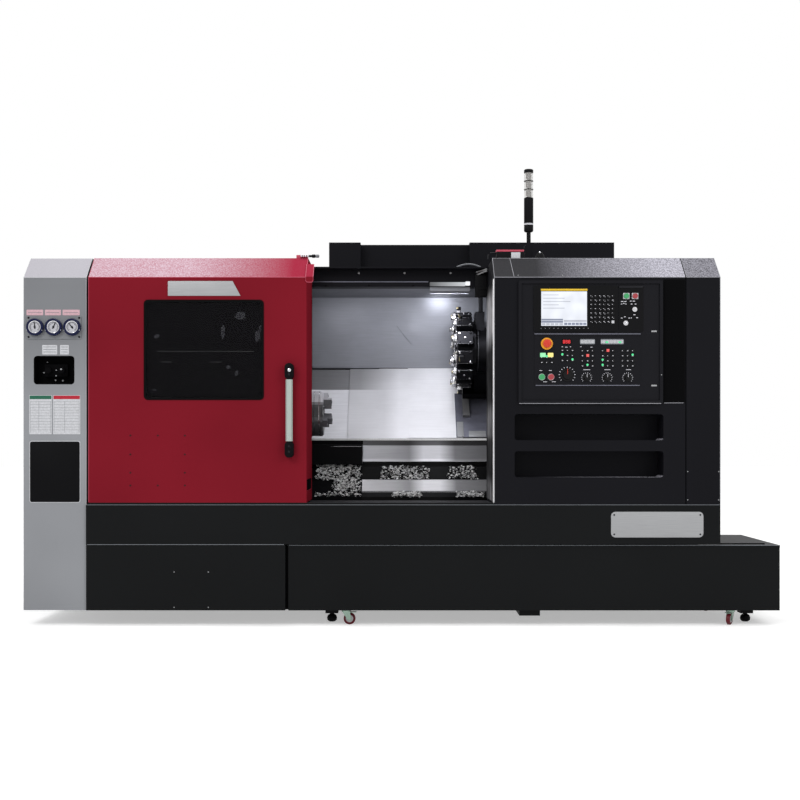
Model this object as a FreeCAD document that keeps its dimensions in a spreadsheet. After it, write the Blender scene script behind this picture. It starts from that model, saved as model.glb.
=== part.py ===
import FreeCAD, Part
import os
import re
import Sketcher

os.makedirs("parts", exist_ok=True)
doc = FreeCAD.newDocument("TurningLathe")
sheet = doc.addObject("Spreadsheet::Sheet", "Sizes")

# Driving dimensions, millimetres and degrees. X runs to the operator's right, Y into the
# machine, Z up; depths are taken from the front face of the enclosure.
sizes = {
    "total_width": 3900,  # services column to the end of the coolant tank
    "skirt_gap": 82,  # floor to the underside of the skirts
    "sill_height": 626,  # top of the front apron
    "roof_height": 1914,
    "slope_drop": 117,  # roof to the top of the upright front faces
    "slope_depth": 130,  # the front top edge leans back this far
    "skin": 3,  # sheet metal
    "fit_gap": 0.4,  # running clearance of a bore over its shaft
    "seat_gap": 0.3,  # a sliding face over its seat
    "column_width": 325,
    "column_depth": 1250,
    "column_setback": 12,
    "panel_gap": 13,  # dark joint between the column and the door
    "recess_inset": 53,
    "recess_width": 210,
    "recess_floor": 1246,
    "recess_height": 147,
    "recess_depth": 70,
    "recess_corner": 18,
    "valve_width": 118,
    "valve_height": 62,
    "valve_radius": 17,
    "gauge_panel_inset": 18,
    "gauge_panel_width": 281,
    "gauge_panel_floor": 1480,
    "gauge_panel_height": 119,
    "gauge_panel_proud": 5,
    "gauge_radius": 44,
    "gauge_deep": 24,
    "gauge_rim": 8,
    "gauge_inset": 64,
    "gauge_pitch": 95.5,
    "gauge_height": 1540,
    "needle_length": 29,
    "needle_pin": 1.6,
    "door_width": 1122,
    "door_lift": 11,  # door edge above the sill
    "door_reach": 440,  # the hood runs this far back over the roof
    "door_flange": 24,
    "notch_floor": 58,
    "notch_height": 60,
    "window_inset": 285,
    "window_width": 618,
    "window_floor": 528,
    "window_height": 516,
    "window_corner": 22,
    "window_lap": 16,
    "pane": 8,
    "gasket_width": 12,
    "gasket_proud": 3,
    "handle_inset": 64,
    "handle_width": 45,
    "handle_floor": 232,
    "handle_height": 484,
    "handle_proud": 45,
    "handle_end": 84,
    "handle_bar_deep": 22,
    "opening_width": 966,
    "right_width": 984,
    "seam": 5,
    "end_width": 175,
    "apron_floor": 422,
    "apron_flange": 30,
    "sill_depth": 485,
    "sill_lip": 26,
    "skirt_width": 1025,
    "skirt_deep": 60,
    "cover_setback": 15,  # headstock cover behind the open door's edge
    "wall_setback": 60,  # inner left wall behind the open door's edge
    "cover_gap": 40,
    "cover_drop": 107,
    "beam_depth": 508,
    "beam_thick": 92,
    "beam_high": 103,
    "rail_thick": 8,
    "ceiling_drop": 64,
    "lamp_length": 222,
    "lamp_inset": 95,
    "lamp_deep": 65,
    "lamp_high": 32,
    "wall_end": 260,
    "spindle_depth": 640,
    "spindle_height": 1109,
    "slant": 45,
    "plane_off": 290,  # way cover plane below the spindle axis, square to the slope
    "lip_reach": 94.8,  # lower edge of the way covers, along the slope from the axis
    "slope_length": 615,
    "rail_lift": 100,  # bed casting below the way cover plane
    "way_width": 45,
    "way_high": 40,
    "way_low": 60,
    "way_upper": 480,
    "bed_inset": 470,
    "bed_gap": 20,  # end of the bed casting inside the control side's end
    "bed_front": 740,
    "bed_tail": 190,
    "bed_lap": 270,
    "bed_shoulder": 75,
    "bed_step": 430,
    "screw_radius": 16,
    "screw_along": 290,
    "pad_height": 60,
    "pad_radius": 55,
    "stem_radius": 14,
    "pad_inset": 90,
    "spindle_radius": 60,
    "bar_bore": 36,
    "nose_radius": 95,
    "nose_length": 22,
    "chuck_radius": 127,
    "chuck_length": 100,
    "chuck_face": 112,  # chuck face beyond the inner left wall
    "chuck_margin": 20,
    "jaw_width": 40,
    "jaw_key": 26,
    "jaw_key_deep": 18,
    "jaw_length": 45,
    "jaw_inner": 44,
    "jaw_outer": 116,
    "head_length": 840,
    "head_half": 170,
    "cylinder_radius": 90,
    "cylinder_length": 130,
    "trough_floor": 600,
    "shield_length": 327,
    "shield_deep": 200,
    "fixed_cover": 265,
    "cover_pitch": 180,
    "cover_lap": 30,
    "cover_plate": 2.5,
    "cover_step": 3,
    "saddle_inset": 146,  # saddle's left side inside the opening's right edge
    "saddle_length": 310,
    "saddle_low": 30,
    "saddle_tall": 570,
    "saddle_tail": 540,
    "cross_rail": 40,
    "cross_rail_high": 22,
    "turret_reach": 548.6,  # turret axis from the spindle axis, along the slope
    "disc_flat": 165,
    "disc_thick": 110,
    "disc_inset": 146,
    "disc_boss": 62,
    "station_hole": 9,
    "station_hole_ring": 118,
    "turret_shaft": 50,
    "housing_radius": 135,
    "housing_length": 160,
    "manifold_width": 54,
    "manifold_depth": 150,
    "manifold_high": 222,  # top of the coolant block above the turret axis
    "slide_half": 140,
    "slide_thick": 35,
    "pedestal_half": 110,
    "motor_radius": 78,
    "motor_length": 80,
    "holder_width": 74,
    "holder_high": 56,
    "holder_length": 92,
    "tool_square": 25,
    "tool_reach": 50,
    "bar_boss": 31,
    "bar_boss_length": 15,
    "boring_bar": 15,
    "boring_reach": 28,
    "pocket_inset": 105,
    "pocket_width": 766,
    "pocket_floor": 767,
    "pocket_height": 135,
    "pocket_pitch": 191,
    "pocket_deep": 150,
    "pocket_corner": 16,
    "console_inset": 124,
    "console_width": 742,
    "console_floor": 1146,
    "console_height": 633,
    "console_proud": 14,
    "console_border": 16,
    "console_corner": 10,
    "console_recess": 8,
    "unit_inset": 77,
    "unit_width": 433,
    "unit_floor": 371,
    "unit_height": 235,
    "screen_inset": 40,
    "screen_width": 235,
    "screen_floor": 29,
    "screen_height": 177,
    "screen_sink": 4,
    "soft_key_pitch": 22,
    "soft_key_size": 12,
    "pad_key_size": 15,
    "pad_key_pitch": 22,
    "key_proud": 2,
    "switch_inset": 515,
    "switch_width": 127,
    "switch_bar": 12,
    "panel_inset": 82,
    "panel_width": 546,
    "panel_floor": 91,
    "panel_height": 270,
    "panel_key": 17,
    "panel_key_pitch": 26,
    "stop_inset": 64,
    "stop_height": 217,
    "stop_radius": 22,
    "stop_collar": 30,
    "stop_stem": 9,
    "stop_proud": 27,
    "press_travel": 4,
    "press_inset": 38,
    "press_pitch": 47,
    "press_height": 46,
    "press_radius": 15,
    "press_stem": 8,
    "power_radius": 13,
    "power_inset": 39,
    "power_pitch": 45,
    "power_drop": 53,
    "dial_radius": 34,
    "dial_inset": 168,
    "dial_height": 56,
    "knob_radius": 20,
    "knob_inset": 268,
    "knob_pitch": 105.5,
    "knob_height": 42,
    "knob_proud": 18,
    "tank_gap": 15,
    "tank_setback": 15,
    "tank_floor": 80,
    "tank_top": 417,
    "tank_rim": 14,
    "lid_inset": 290,
    "lid_width": 230,
    "lid_depth": 380,
    "bracket_inset": 1195,
    "bracket_width": 107,
    "bracket_high": 31,
    "bracket_depth": 300,
    "tank_foot": 67,
    "tank_foot_block": 34,
    "tank_foot_ball": 27,
    "foot_left": 217,
    "foot_right": 130,
    "foot_depth": 190,
    "caster_left": 296,
    "caster_right": 238,
    "caster_depth": 78,
    "caster_rear": 600,
    "wheel_radius": 31,
    "wheel_width": 22,
    "wheel_bore": 4.4,
    "caster_trail": 18,
    "caster_turn": 58,  # the right front caster stands swivelled
    "fork_cheek": 3,
    "tower_inset": 209,
    "tower_depth": 300,
    "tower_pivot": 84,  # pivot above the roof
    "tower_boss": 28,
    "tower_ear": 8,
    "tower_pole": 9,
    "tower_radius": 25,
    "tower_body_floor": 82,
    "tower_body": 183,
    "lens_height": 45,
    "tower_pin": 8,
    "rear_depth": 150,  # rear cover behind the bed
    "hood_height": 277,  # rear hood above the roof
    "hood_left": 44,
    "hood_width": 196,
    "hood_setback": 95,
    "hood_gap": 48,
    "cabinet_width": 900,
    "cabinet_depth": 261.035,
    "cabinet_floor": 110,
    "cabinet_skin": 4,
    "cabinet_door": 24,
    "cabinet_switch": 30,
    "module_inset": 110,
    "module_depth": 90,
    "louvre_width": 260,
    "louvre_high": 8,
    "louvre_pitch": 26,
    "louvre_inset": 180,
    "louvre_banks": 620,  # from one bank of slots to the next
    "hinge_radius": 9,
    "conduit_radius": 5,
    "conduit_span": 160,
    "conduit_rise": 26,
    "conduit_inset": 20,
}
# How many of each repeated feature.
counts = {
    "stations": 12,
    "soft_keys": 12,
    "pad_columns": 6,
    "pad_rows": 7,
    "louvres": 9,
}
for row, (size_name, size_value) in enumerate({**sizes, **counts}.items(), start=1):
    sheet.set(f"A{row}", size_name)
    sheet.set(f"B{row}", str(size_value))
    sheet.setAlias(f"B{row}", size_name)
doc.recompute()

# Places that follow from the sizes.
places = {
    "left": "-total_width / 2",
    "bed_back": "plane_off * sin(slant) + (lip_reach + slope_length) * cos(slant) + skin + bed_tail",
    "total_depth": "handle_proud + spindle_depth + bed_back + cabinet_depth + cabinet_door + cabinet_switch",
    "front": "-total_depth / 2 + handle_proud",
    "face_height": "roof_height - slope_drop",
    "beam_floor": "roof_height - beam_high",
    "column_right": "left + column_width",
    "column_face": "front + column_setback",
    "door_left": "column_right + panel_gap",
    "door_right": "door_left + door_width",
    "door_floor": "sill_height + door_lift",
    "mouth_right": "door_right + opening_width",
    "shell_right": "mouth_right + right_width",
    "end_left": "shell_right + seam",
    "end_right": "end_left + end_width",
    "wall_left": "door_right - wall_setback",
    "beam_front": "front + beam_depth",
    "beam_back": "beam_front + beam_thick",
    "spindle_y": "front + spindle_depth",
    "slope_y": "spindle_y + plane_off * sin(slant) + lip_reach * cos(slant)",
    "slope_z": "spindle_height - plane_off * cos(slant) + lip_reach * sin(slant)",
    "slope_top": "slope_z + slope_length * sin(slant)",
    "wall_y": "slope_y + slope_length * cos(slant) + skin",
    "ceiling": "roof_height - ceiling_drop",
    "bed_left": "left + bed_inset",
    "bed_length": "shell_right - bed_gap - bed_left",
    "bed_face": "front + bed_front",
    "bed_rear": "wall_y + bed_tail",
    "chuck_x": "wall_left + chuck_face",
    "chuck_back": "chuck_x - chuck_length",
    "nose_back": "chuck_back - nose_length",
    "head_front": "nose_back - 4 * skin",
    "head_back": "head_front - head_length",
    "cover_one": "wall_left + fixed_cover - cover_lap",
    "cover_two": "cover_one + cover_pitch",
    "saddle_plate": "cover_two + cover_pitch",
    "saddle_x": "mouth_right - saddle_inset",
    "turret_y": "spindle_y + turret_reach * cos(slant)",
    "turret_z": "spindle_height + turret_reach * sin(slant)",
    "turret_along": "turret_reach - lip_reach",
    "disc_x": "mouth_right - disc_inset",
    "housing_x": "disc_x + disc_thick",
    "slide_top": "skin + cross_rail_high + seat_gap + slide_thick",
    "console_x": "mouth_right + console_inset",
    "console_face": "front - console_proud",
    "recess_face": "console_face + console_recess",
    "unit_x": "console_x + unit_inset",
    "unit_z": "console_floor + unit_floor",
    "switch_x": "console_x + switch_inset",
    "panel_x": "console_x + panel_inset",
    "panel_z": "console_floor + panel_floor",
    "panel_face": "recess_face - 2",
    "gauge_face": "column_face - gauge_panel_proud",
    "tank_left": "column_right + skirt_width + tank_gap",
    "tank_right": "total_width / 2",
    "tower_x": "mouth_right + tower_inset",
    "pivot_z": "roof_height + tower_pivot",
    "rear_face": "bed_rear + rear_depth",
    "cabinet_left": "mouth_right - hood_gap + seam / 5",
    "cabinet_back": "bed_rear + cabinet_depth",
}


def on_sheet(formula):
    """A formula with every size read from the sheet and every place written out."""

    def cell(word):
        if word[0] in places:
            return "(" + on_sheet(places[word[0]]) + ")"
        return "Sizes." + word[0] if word[0] in sizes or word[0] in counts else word[0]

    return re.sub(r"[a-z_]+", cell, str(formula))


def bind(thing, formulas):
    for path, formula in formulas.items():
        thing.setExpression(path, on_sheet(formula))
    return thing


def put(thing, x=0, y=0, z=0):
    return bind(thing, {"Placement.Base.x": x, "Placement.Base.y": y, "Placement.Base.z": z})


def block(x, y, z, wide, deep, high):
    box = doc.addObject("Part::Box", "Block")
    return put(bind(box, {"Length": wide, "Width": deep, "Height": high}), x, y, z)


standing = {
    "x": FreeCAD.Rotation(FreeCAD.Vector(0, 1, 0), 90),
    "y": FreeCAD.Rotation(FreeCAD.Vector(1, 0, 0), -90),
    "z": FreeCAD.Rotation(),
}


def rod(along, x, y, z, radius, length):
    """A cylinder that starts at x, y, z and runs towards the plus side of its axis."""
    cylinder = doc.addObject("Part::Cylinder", "Rod")
    cylinder.Placement = FreeCAD.Placement(FreeCAD.Vector(), standing[along])
    return put(bind(cylinder, {"Radius": radius, "Height": length}), x, y, z)


def tilted_point(along, off, angle="slant", centre=("slope_y", "slope_z")):
    """Y and Z of a point given along a tilted line and square off it."""
    y = f"{centre[0]} + ({along}) * cos({angle}) - ({off}) * sin({angle})"
    z = f"{centre[1]} + ({along}) * sin({angle}) + ({off}) * cos({angle})"
    return y, z


def tilted_block(x, along, off, wide, length, high, angle="slant", centre=("slope_y", "slope_z")):
    box = doc.addObject("Part::Box", "Block")
    box.Placement = FreeCAD.Placement(FreeCAD.Vector(), FreeCAD.Rotation(FreeCAD.Vector(1, 0, 0), 45))
    bind(box, {"Length": wide, "Width": length, "Height": high, "Placement.Rotation.Angle": angle})
    return put(box, x, *tilted_point(along, off, angle, centre))


def joined(*pieces):
    fusion = doc.addObject("Part::MultiFuse", "Joined")
    fusion.Shapes = list(pieces)
    return fusion


def grouped(*pieces):
    group = doc.addObject("Part::Compound", "Group")
    group.Links = list(pieces)
    return group


def without(base, *tools):
    cut = doc.addObject("Part::Cut", "Trimmed")
    cut.Base = base
    cut.Tool = tools[0] if len(tools) == 1 else joined(*tools)
    return cut


def outline(body, plane, corners):
    """A closed outline on one of the body's origin planes, every corner bound to the sheet."""
    sketch = body.newObject("Sketcher::SketchObject", "Outline")
    origin_plane = [face for face in body.Origin.OriginFeatures if face.Role == plane + "_Plane"][0]
    sketch.AttachmentSupport = [(origin_plane, "")]
    sketch.MapMode = "FlatFace"
    count = len(corners)
    spread = [FreeCAD.Rotation(FreeCAD.Vector(0, 0, 1), 360 * i / count) for i in range(count)]
    start = [turn.multVec(FreeCAD.Vector(10, 0, 0)) for turn in spread]
    for i in range(count):
        sketch.addGeometry(Part.LineSegment(start[i], start[(i + 1) % count]), False)
    for i in range(count):
        sketch.addConstraint(Sketcher.Constraint("Coincident", i, 2, (i + 1) % count, 1))
    for i, (across, up) in enumerate(corners):
        for kind, value, formula in (("DistanceX", start[i].x, across), ("DistanceY", start[i].y, up)):
            number = sketch.addConstraint(Sketcher.Constraint(kind, -1, 1, i, 1, value))
            sketch.setExpression(f"Constraints[{number}]", on_sheet(formula))
    return sketch


def extruded(plane, corners, start, length):
    """A profile pushed square off its plane: YZ along X, XZ along Y, XY along Z."""
    body = doc.addObject("PartDesign::Body", "Profile")
    pad = body.newObject("PartDesign::Pad", "Pad")
    pad.Profile = outline(body, plane, corners)
    bind(pad, {"Length": length})
    if plane == "YZ":
        return put(body, x=start)
    if plane == "XY":
        return put(body, z=start)
    return put(body, y=f"({start}) + ({length})")


def turned(along, corners, x, y, z):
    """A profile of (distance along the axis, radius) turned round the axis."""
    body = doc.addObject("PartDesign::Body", "Turned")
    if along == "x":
        plane, axis = "XY", "H_Axis"
    else:
        plane, axis = ("XY" if along == "y" else "XZ"), "V_Axis"
        corners = [(radius, at) for at, radius in corners]
    sketch = outline(body, plane, corners)
    revolution = body.newObject("PartDesign::Revolution", "Revolution")
    revolution.Profile = sketch
    revolution.ReferenceAxis = (sketch, [axis])
    revolution.Angle = 360
    return put(body, x, y, z)


axes = {"x": FreeCAD.Vector(1, 0, 0), "y": FreeCAD.Vector(0, 1, 0), "z": FreeCAD.Vector(0, 0, 1)}


def softened(body, radius, along):
    """Rounds the straight edges of a body that run along one axis."""
    doc.recompute()
    tip = body.Tip
    names = []
    for number, edge in enumerate(tip.Shape.Edges, start=1):
        if edge.Curve.TypeId == "Part::GeomLine" and abs(edge.Curve.Direction.dot(axes[along])) > 0.99:
            names.append(f"Edge{number}")
    fillet = body.newObject("PartDesign::Fillet", "Rounding")
    fillet.Base = (tip, names)
    return bind(fillet, {"Radius": radius}) and body


def rounded_plate(x, y, z, wide, deep, high, corner):
    """An upright plate that faces the front, with its four corners rounded."""
    far_x, far_z = f"({x}) + ({wide})", f"({z}) + ({high})"
    corners = [(x, z), (far_x, z), (far_x, far_z), (x, far_z)]
    return softened(extruded("XZ", corners, y, deep), corner, "y")


def spun(thing, along, angle):
    """Turns a piece made at the origin round one axis, before it is put in its place."""
    thing.Placement = FreeCAD.Placement(FreeCAD.Vector(), FreeCAD.Rotation(axes[along], 45))
    return bind(thing, {"Placement.Rotation.Angle": angle})


nodes = {}


def sub_part(name, thing):
    thing.Label = name
    nodes[name] = thing


# Slant-bed casting with its two guideways and the ball screw between them.
def machine_bed():
    top_y, top_z = tilted_point("slope_length - saddle_low / 2", "-rail_lift")
    low_y, low_z = tilted_point("-bed_lap", "-rail_lift")
    casting = extruded("YZ", [
        ("bed_face", "pad_height"), ("bed_rear", "pad_height"), ("bed_rear", f"{top_z} - bed_shoulder"),
        (top_y, top_z), (low_y, low_z), (low_y, f"{low_z} - 2 * bed_shoulder"), ("bed_face", "bed_step"),
    ], "bed_left", "bed_length")
    way_start = "head_front + chuck_length"
    way_length = f"bed_left + bed_length - ({way_start}) - pad_inset"
    ways = [tilted_block(way_start, at, "-rail_lift", way_length, "way_width", "way_high")
            for at in ("way_low", "way_upper")]
    screw_y, screw_z = tilted_point("screw_along", "-rail_lift + 22")
    screw = rod("x", way_start, screw_y, screw_z, "screw_radius", way_length)
    bearings = [tilted_block(x, "screw_along - 30", "-rail_lift", "way_width", 60, "way_high")
                for x in (way_start, f"{way_start} + {way_length} - way_width")]
    sub_part("machine_bed", joined(casting, *ways, screw, *bearings))


def foot_spots():
    """The six pads under the bed casting."""
    bed_right = "bed_left + bed_length - pad_inset"
    for x in ("bed_left + pad_inset", "bed_left + bed_length / 2", bed_right):
        for y in ("bed_face + pad_inset", "bed_rear - pad_inset"):
            yield x, y


def levelling_feet():
    feet = [turned("z", [(0, 0), (0, "pad_radius"), (14, "pad_radius"), (22, "2 * stem_radius"),
                         (22, "stem_radius"), ("pad_height", "stem_radius"), ("pad_height", 0)], x, y, 0)
            for x, y in foot_spots()]
    for x in ("tank_left + foot_left", "tank_right - foot_right"):
        half = "tank_foot / 2"
        y = "front + foot_depth"
        top = block(f"{x} - {half}", f"{y} - {half}", "tank_floor - tank_foot_block",
                    "tank_foot", "tank_foot", "tank_foot_block")
        ball = turned("z", [(0, 0), (0, "tank_foot_ball * 0.6"), (7, "tank_foot_ball * 0.9"),
                            (19, "tank_foot_ball"), (32, "tank_foot_ball * 0.85"),
                            (40, "stem_radius * 0.8"), ("tank_floor - tank_foot_block", "stem_radius * 0.8"),
                            ("tank_floor - tank_foot_block", 0)], x, y, 0)
        feet.append(joined(top, ball))
    sub_part("levelling_feet", grouped(*feet))


# Folded apron: front face, sill plate running back to the chip guard, turned-in lower flange
# and the rail that the door runs on.
def front_apron():
    back = "front + sill_depth"
    under = "sill_height - skin"
    folded = extruded("YZ", [
        ("front", "apron_floor"), ("front", "sill_height"), (back, "sill_height"),
        (back, "sill_height - sill_lip"), (f"{back} - skin", "sill_height - sill_lip"),
        (f"{back} - skin", under), ("front + skin", under), ("front + skin", "apron_floor + skin"),
        ("front + apron_flange", "apron_floor + skin"), ("front + apron_flange", "apron_floor"),
    ], "column_right", "end_right - column_right")
    rail = block("door_left", "front + 1", "sill_height", "mouth_right - door_left",
                 "door_flange", "door_lift - seat_gap")
    sub_part("front_apron", joined(folded, rail))


def left_skirt():
    face = "front + 2"
    high = "apron_floor - skirt_gap"
    tray = block("column_right", face, "skirt_gap", "skirt_width", "skirt_deep", high)
    inside = block("column_right + skin", f"{face} + skin", "skirt_gap + skin",
                   "skirt_width - 2 * skin", "skirt_deep", f"{high} - 2 * skin")
    sub_part("left_skirt", without(tray, inside))


# Grey services column with the raised gauge panel and the rounded valve recess.
def services_column():
    face = "column_face"
    column = extruded("YZ", [
        (face, "skirt_gap"), (face, "face_height"), (f"{face} + slope_depth", "roof_height"),
        ("front + column_depth", "roof_height"), ("front + column_depth", "skirt_gap"),
    ], "left", "column_width")
    panel = rounded_plate("left + gauge_panel_inset", "gauge_face", "gauge_panel_floor",
                          "gauge_panel_width", "gauge_panel_proud", "gauge_panel_height", 6)
    recess = rounded_plate("left + recess_inset", f"{face} - 1", "recess_floor",
                           "recess_width", "recess_depth + 1", "recess_height", "recess_corner")
    middle_x = "left + recess_inset + recess_width / 2"
    middle_z = "recess_floor + recess_height / 2"
    back = f"{face} + recess_depth"
    valve = block(f"{middle_x} - valve_width / 2", f"{back} - 30", f"{middle_z} - valve_height / 2",
                  "valve_width", 31, "valve_height")
    knobs = [turned("y", [(0, 0), (0, "valve_radius * 0.5"), (-12, "valve_radius * 0.5"),
                          (-12, "valve_radius"), (-30, "valve_radius * 0.9"), (-30, 0)],
                    f"{middle_x} + {side} * valve_width / 3.4", f"{back} - 30", middle_z)
             for side in (-1, 1)]
    sub_part("services_column", joined(without(joined(column, panel), recess), valve, *knobs))


def gauge_spots():
    for number in range(3):
        yield f"left + gauge_inset + {number} * gauge_pitch"


def gauge_cases():
    rim = "gauge_radius - gauge_rim"
    dial = "-gauge_deep + 10"
    cases = [turned("y", [(0, 0), (0, "gauge_radius"), ("-gauge_deep + 4", "gauge_radius"),
                          ("-gauge_deep", "gauge_radius - 4"), ("-gauge_deep", rim), (dial, rim),
                          (dial, "needle_pin"), (f"{dial} - 6", "needle_pin"), (f"{dial} - 6", 0)],
                    x, "gauge_face", "gauge_height") for x in gauge_spots()]
    sub_part("gauge_cases", grouped(*cases))


# A gauge needle: a hub that turns on the dial's pin, a tapered pointer and a short tail. Each
# is made round its own pin and then turned to its reading.
def gauge_needles():
    for number, (x, turn) in enumerate(zip(gauge_spots(), ("-5", "25", "-40")), start=1):
        face = "gauge_face - gauge_deep + 10 - seat_gap - 3"
        pointer = extruded("XZ", [
            (-3, -9), (3, -9), (3, 0), (0.8, "needle_length"), (-0.8, "needle_length"), (-3, 0),
        ], 1, 1)
        hub = rod("y", 0, 0, 0, 5, 3)
        bore = rod("y", 0, -1, 0, "needle_pin + seat_gap", 5)
        needle = spun(without(joined(pointer, hub), bore), "y", turn)
        sub_part(f"gauge_needle_{number}", put(needle, x, face, "gauge_height"))


# Fixed cover round the headstock. The open door hides it; its right wall has the hole for
# the chuck and stops at the way covers.
def headstock_cover():
    def section(inset, floor):
        face = f"front + cover_gap + {inset}"
        return [(face, floor), (face, f"face_height - cover_drop - {inset} / 2"),
                (f"{face} + slope_depth", f"roof_height - cover_drop - {inset}"),
                (f"wall_y + {inset}", f"roof_height - cover_drop - {inset}"), (f"wall_y + {inset}", floor)]

    shell = extruded("YZ", section(0, "sill_height"), "door_left", "wall_left - door_left")
    inside = extruded("YZ", section("skin", "sill_height - 10"), "door_left + skin",
                      "wall_left - door_left - 2 * skin")
    chuck_hole = rod("x", "wall_left - 2 * skin", "spindle_y", "spindle_height",
                     "chuck_radius + chuck_margin", "3 * skin")
    under_ways = tilted_block("wall_left - 2 * skin", "-bed_lap * 2", "-rail_lift * 6 - cover_step * 5",
                              "3 * skin", "slope_length * 2", "rail_lift * 6")
    sub_part("headstock_cover", without(shell, inside, chuck_hole, under_ways))


# Header beam across the machine with the roof plate behind it and the door's upper rail.
def header_beam():
    beam = extruded("YZ", [
        ("beam_front", "beam_floor"), ("beam_front", "roof_height"), ("wall_y", "roof_height"),
        ("wall_y", "roof_height - skin"), ("beam_back", "roof_height - skin"), ("beam_back", "beam_floor"),
    ], "door_left", "mouth_right - door_left")
    rail_y = "front + door_reach - cover_setback"
    rail = block("door_left", rail_y, "roof_height - skin - seat_gap - rail_thick",
                 "mouth_right - door_left", f"beam_front - ({rail_y})", "rail_thick")
    sub_part("header_beam", joined(beam, rail))


# Thin conduit that arches low over the right end of the beam: the top of a ring.
def roof_conduit():
    ring_radius = "(conduit_span ^ 2 / 4 + conduit_rise ^ 2) / (2 * conduit_rise)"
    x, y = "mouth_right - conduit_inset - conduit_span / 2", "beam_front + beam_thick / 3"
    ring = doc.addObject("Part::Torus", "Ring")
    ring.Placement = FreeCAD.Placement(FreeCAD.Vector(), FreeCAD.Rotation(FreeCAD.Vector(1, 0, 0), 90))
    bind(ring, {"Radius1": ring_radius, "Radius2": "conduit_radius"})
    put(ring, x, y, f"roof_height + conduit_rise - {ring_radius}")
    above = block(f"{x} - conduit_span", f"{y} - 4 * conduit_radius", "roof_height", "2 * conduit_span",
                  "8 * conduit_radius", "conduit_span")
    arch = doc.addObject("Part::Common", "Arch")
    arch.Base = ring
    arch.Tool = above
    sub_part("roof_conduit", arch)


def work_light():
    face = "beam_front + seam * 2"
    bar = extruded("YZ", [
        (face, "beam_floor"), (face, "beam_floor - lamp_high * 0.7"),
        (f"{face} + lamp_deep * 0.4", "beam_floor - lamp_high"),
        (f"{face} + lamp_deep", "beam_floor - lamp_high"), (f"{face} + lamp_deep", "beam_floor"),
    ], "mouth_right - lamp_inset - lamp_length", "lamp_length")
    sub_part("work_light", bar)


# Stainless back wall and ceiling of the working space, one folded sheet.
def splash_wall():
    low = "slope_top + seam * 2"
    folded = extruded("YZ", [
        ("beam_back", "ceiling"), ("wall_y", "ceiling"), ("wall_y", low), ("wall_y - skin", low),
        ("wall_y - skin", "ceiling - skin"), ("beam_back", "ceiling - skin"),
    ], "wall_left", "shell_right - wall_end - wall_left")
    sub_part("splash_wall", folded)


# Stepped chip guard below the spindle, folded from one sheet, with the fixed way cover.
def bed_guard():
    lip = [tilted_point(along, "-2 * cover_step - cover_plate - 1") for along in ("0", "20")]
    sill_back = "front + sill_depth"
    upper = [
        (sill_back, "sill_height"), (sill_back, "trough_floor"),
        ("spindle_y - 40", "trough_floor"), ("spindle_y - 40", "trough_floor + 40"),
        ("spindle_y", "trough_floor + 65"), ("slope_y - 222", "slope_z - 240"),
        ("slope_y - 207", "slope_z - 237"), ("slope_y - 152", "slope_z - 164"),
        ("slope_y - 112", "slope_z - 159"), ("slope_y - 112", "slope_z - 136"),
        ("slope_y - 32", "slope_z - 46"), ("slope_y - 9", "slope_z - 44"), ("slope_y - 9", "slope_z - 13"),
    ] + lip
    lower = [(f"{y} + skin", f"{z} - skin") for y, z in reversed(upper)]
    guard = extruded("YZ", upper + lower, "wall_left", "shell_right - wall_end - wall_left")
    fixed = tilted_block("wall_left", 0, "-2 * cover_step - cover_plate - 1 - cover_plate",
                         "fixed_cover", "slope_length", "cover_plate")
    shield = extruded("YZ", [
        ("slope_y - shield_deep", "slope_z - 38"), ("slope_y - shield_deep", "slope_z - 150"),
        ("slope_y - 111", "slope_z - 150"), ("slope_y - 111", "slope_z - 136"),
        ("slope_y - 31", "slope_z - 46"), ("slope_y - 10", "slope_z - 38"),
    ], "wall_left", "shield_length")
    sub_part("bed_guard", joined(guard, fixed, shield))


# Telescopic way covers: each slides over the one on its left, half a millimetre clear.
def way_covers():
    for number, x, layer in ((1, "cover_one", 2), (2, "cover_two", 1)):
        plate = tilted_block(x, 0, f"-{layer} * cover_step", "cover_pitch + cover_lap",
                             "slope_length", "cover_plate")
        sub_part(f"way_cover_{number}", plate)


# Saddle on the guideways, with its own cover plates left and right and the cross rails.
def saddle():
    cast = tilted_block("saddle_x", "saddle_low", "-rail_lift + way_high + seat_gap", "saddle_length",
                        "saddle_tall", "rail_lift - way_high - seat_gap")
    runners = [tilted_block("saddle_x", at, "-rail_lift + 4", "saddle_length", 10, "way_high")
               for way in ("way_low", "way_upper") for at in (f"{way} - 12", f"{way} + way_width + 2")]
    plate = tilted_block("saddle_plate", 0, 0, "saddle_x + saddle_length + saddle_tail - saddle_plate",
                         "slope_length", "skin")
    rails = [tilted_block(x, "saddle_low + slide_half", "skin", "cross_rail",
                          "saddle_tall - slide_half", "cross_rail_high")
             for x in ("saddle_x + cross_rail", "saddle_x + saddle_length - 2 * cross_rail")]
    sub_part("saddle", joined(cast, *runners, plate, *rails))


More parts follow.
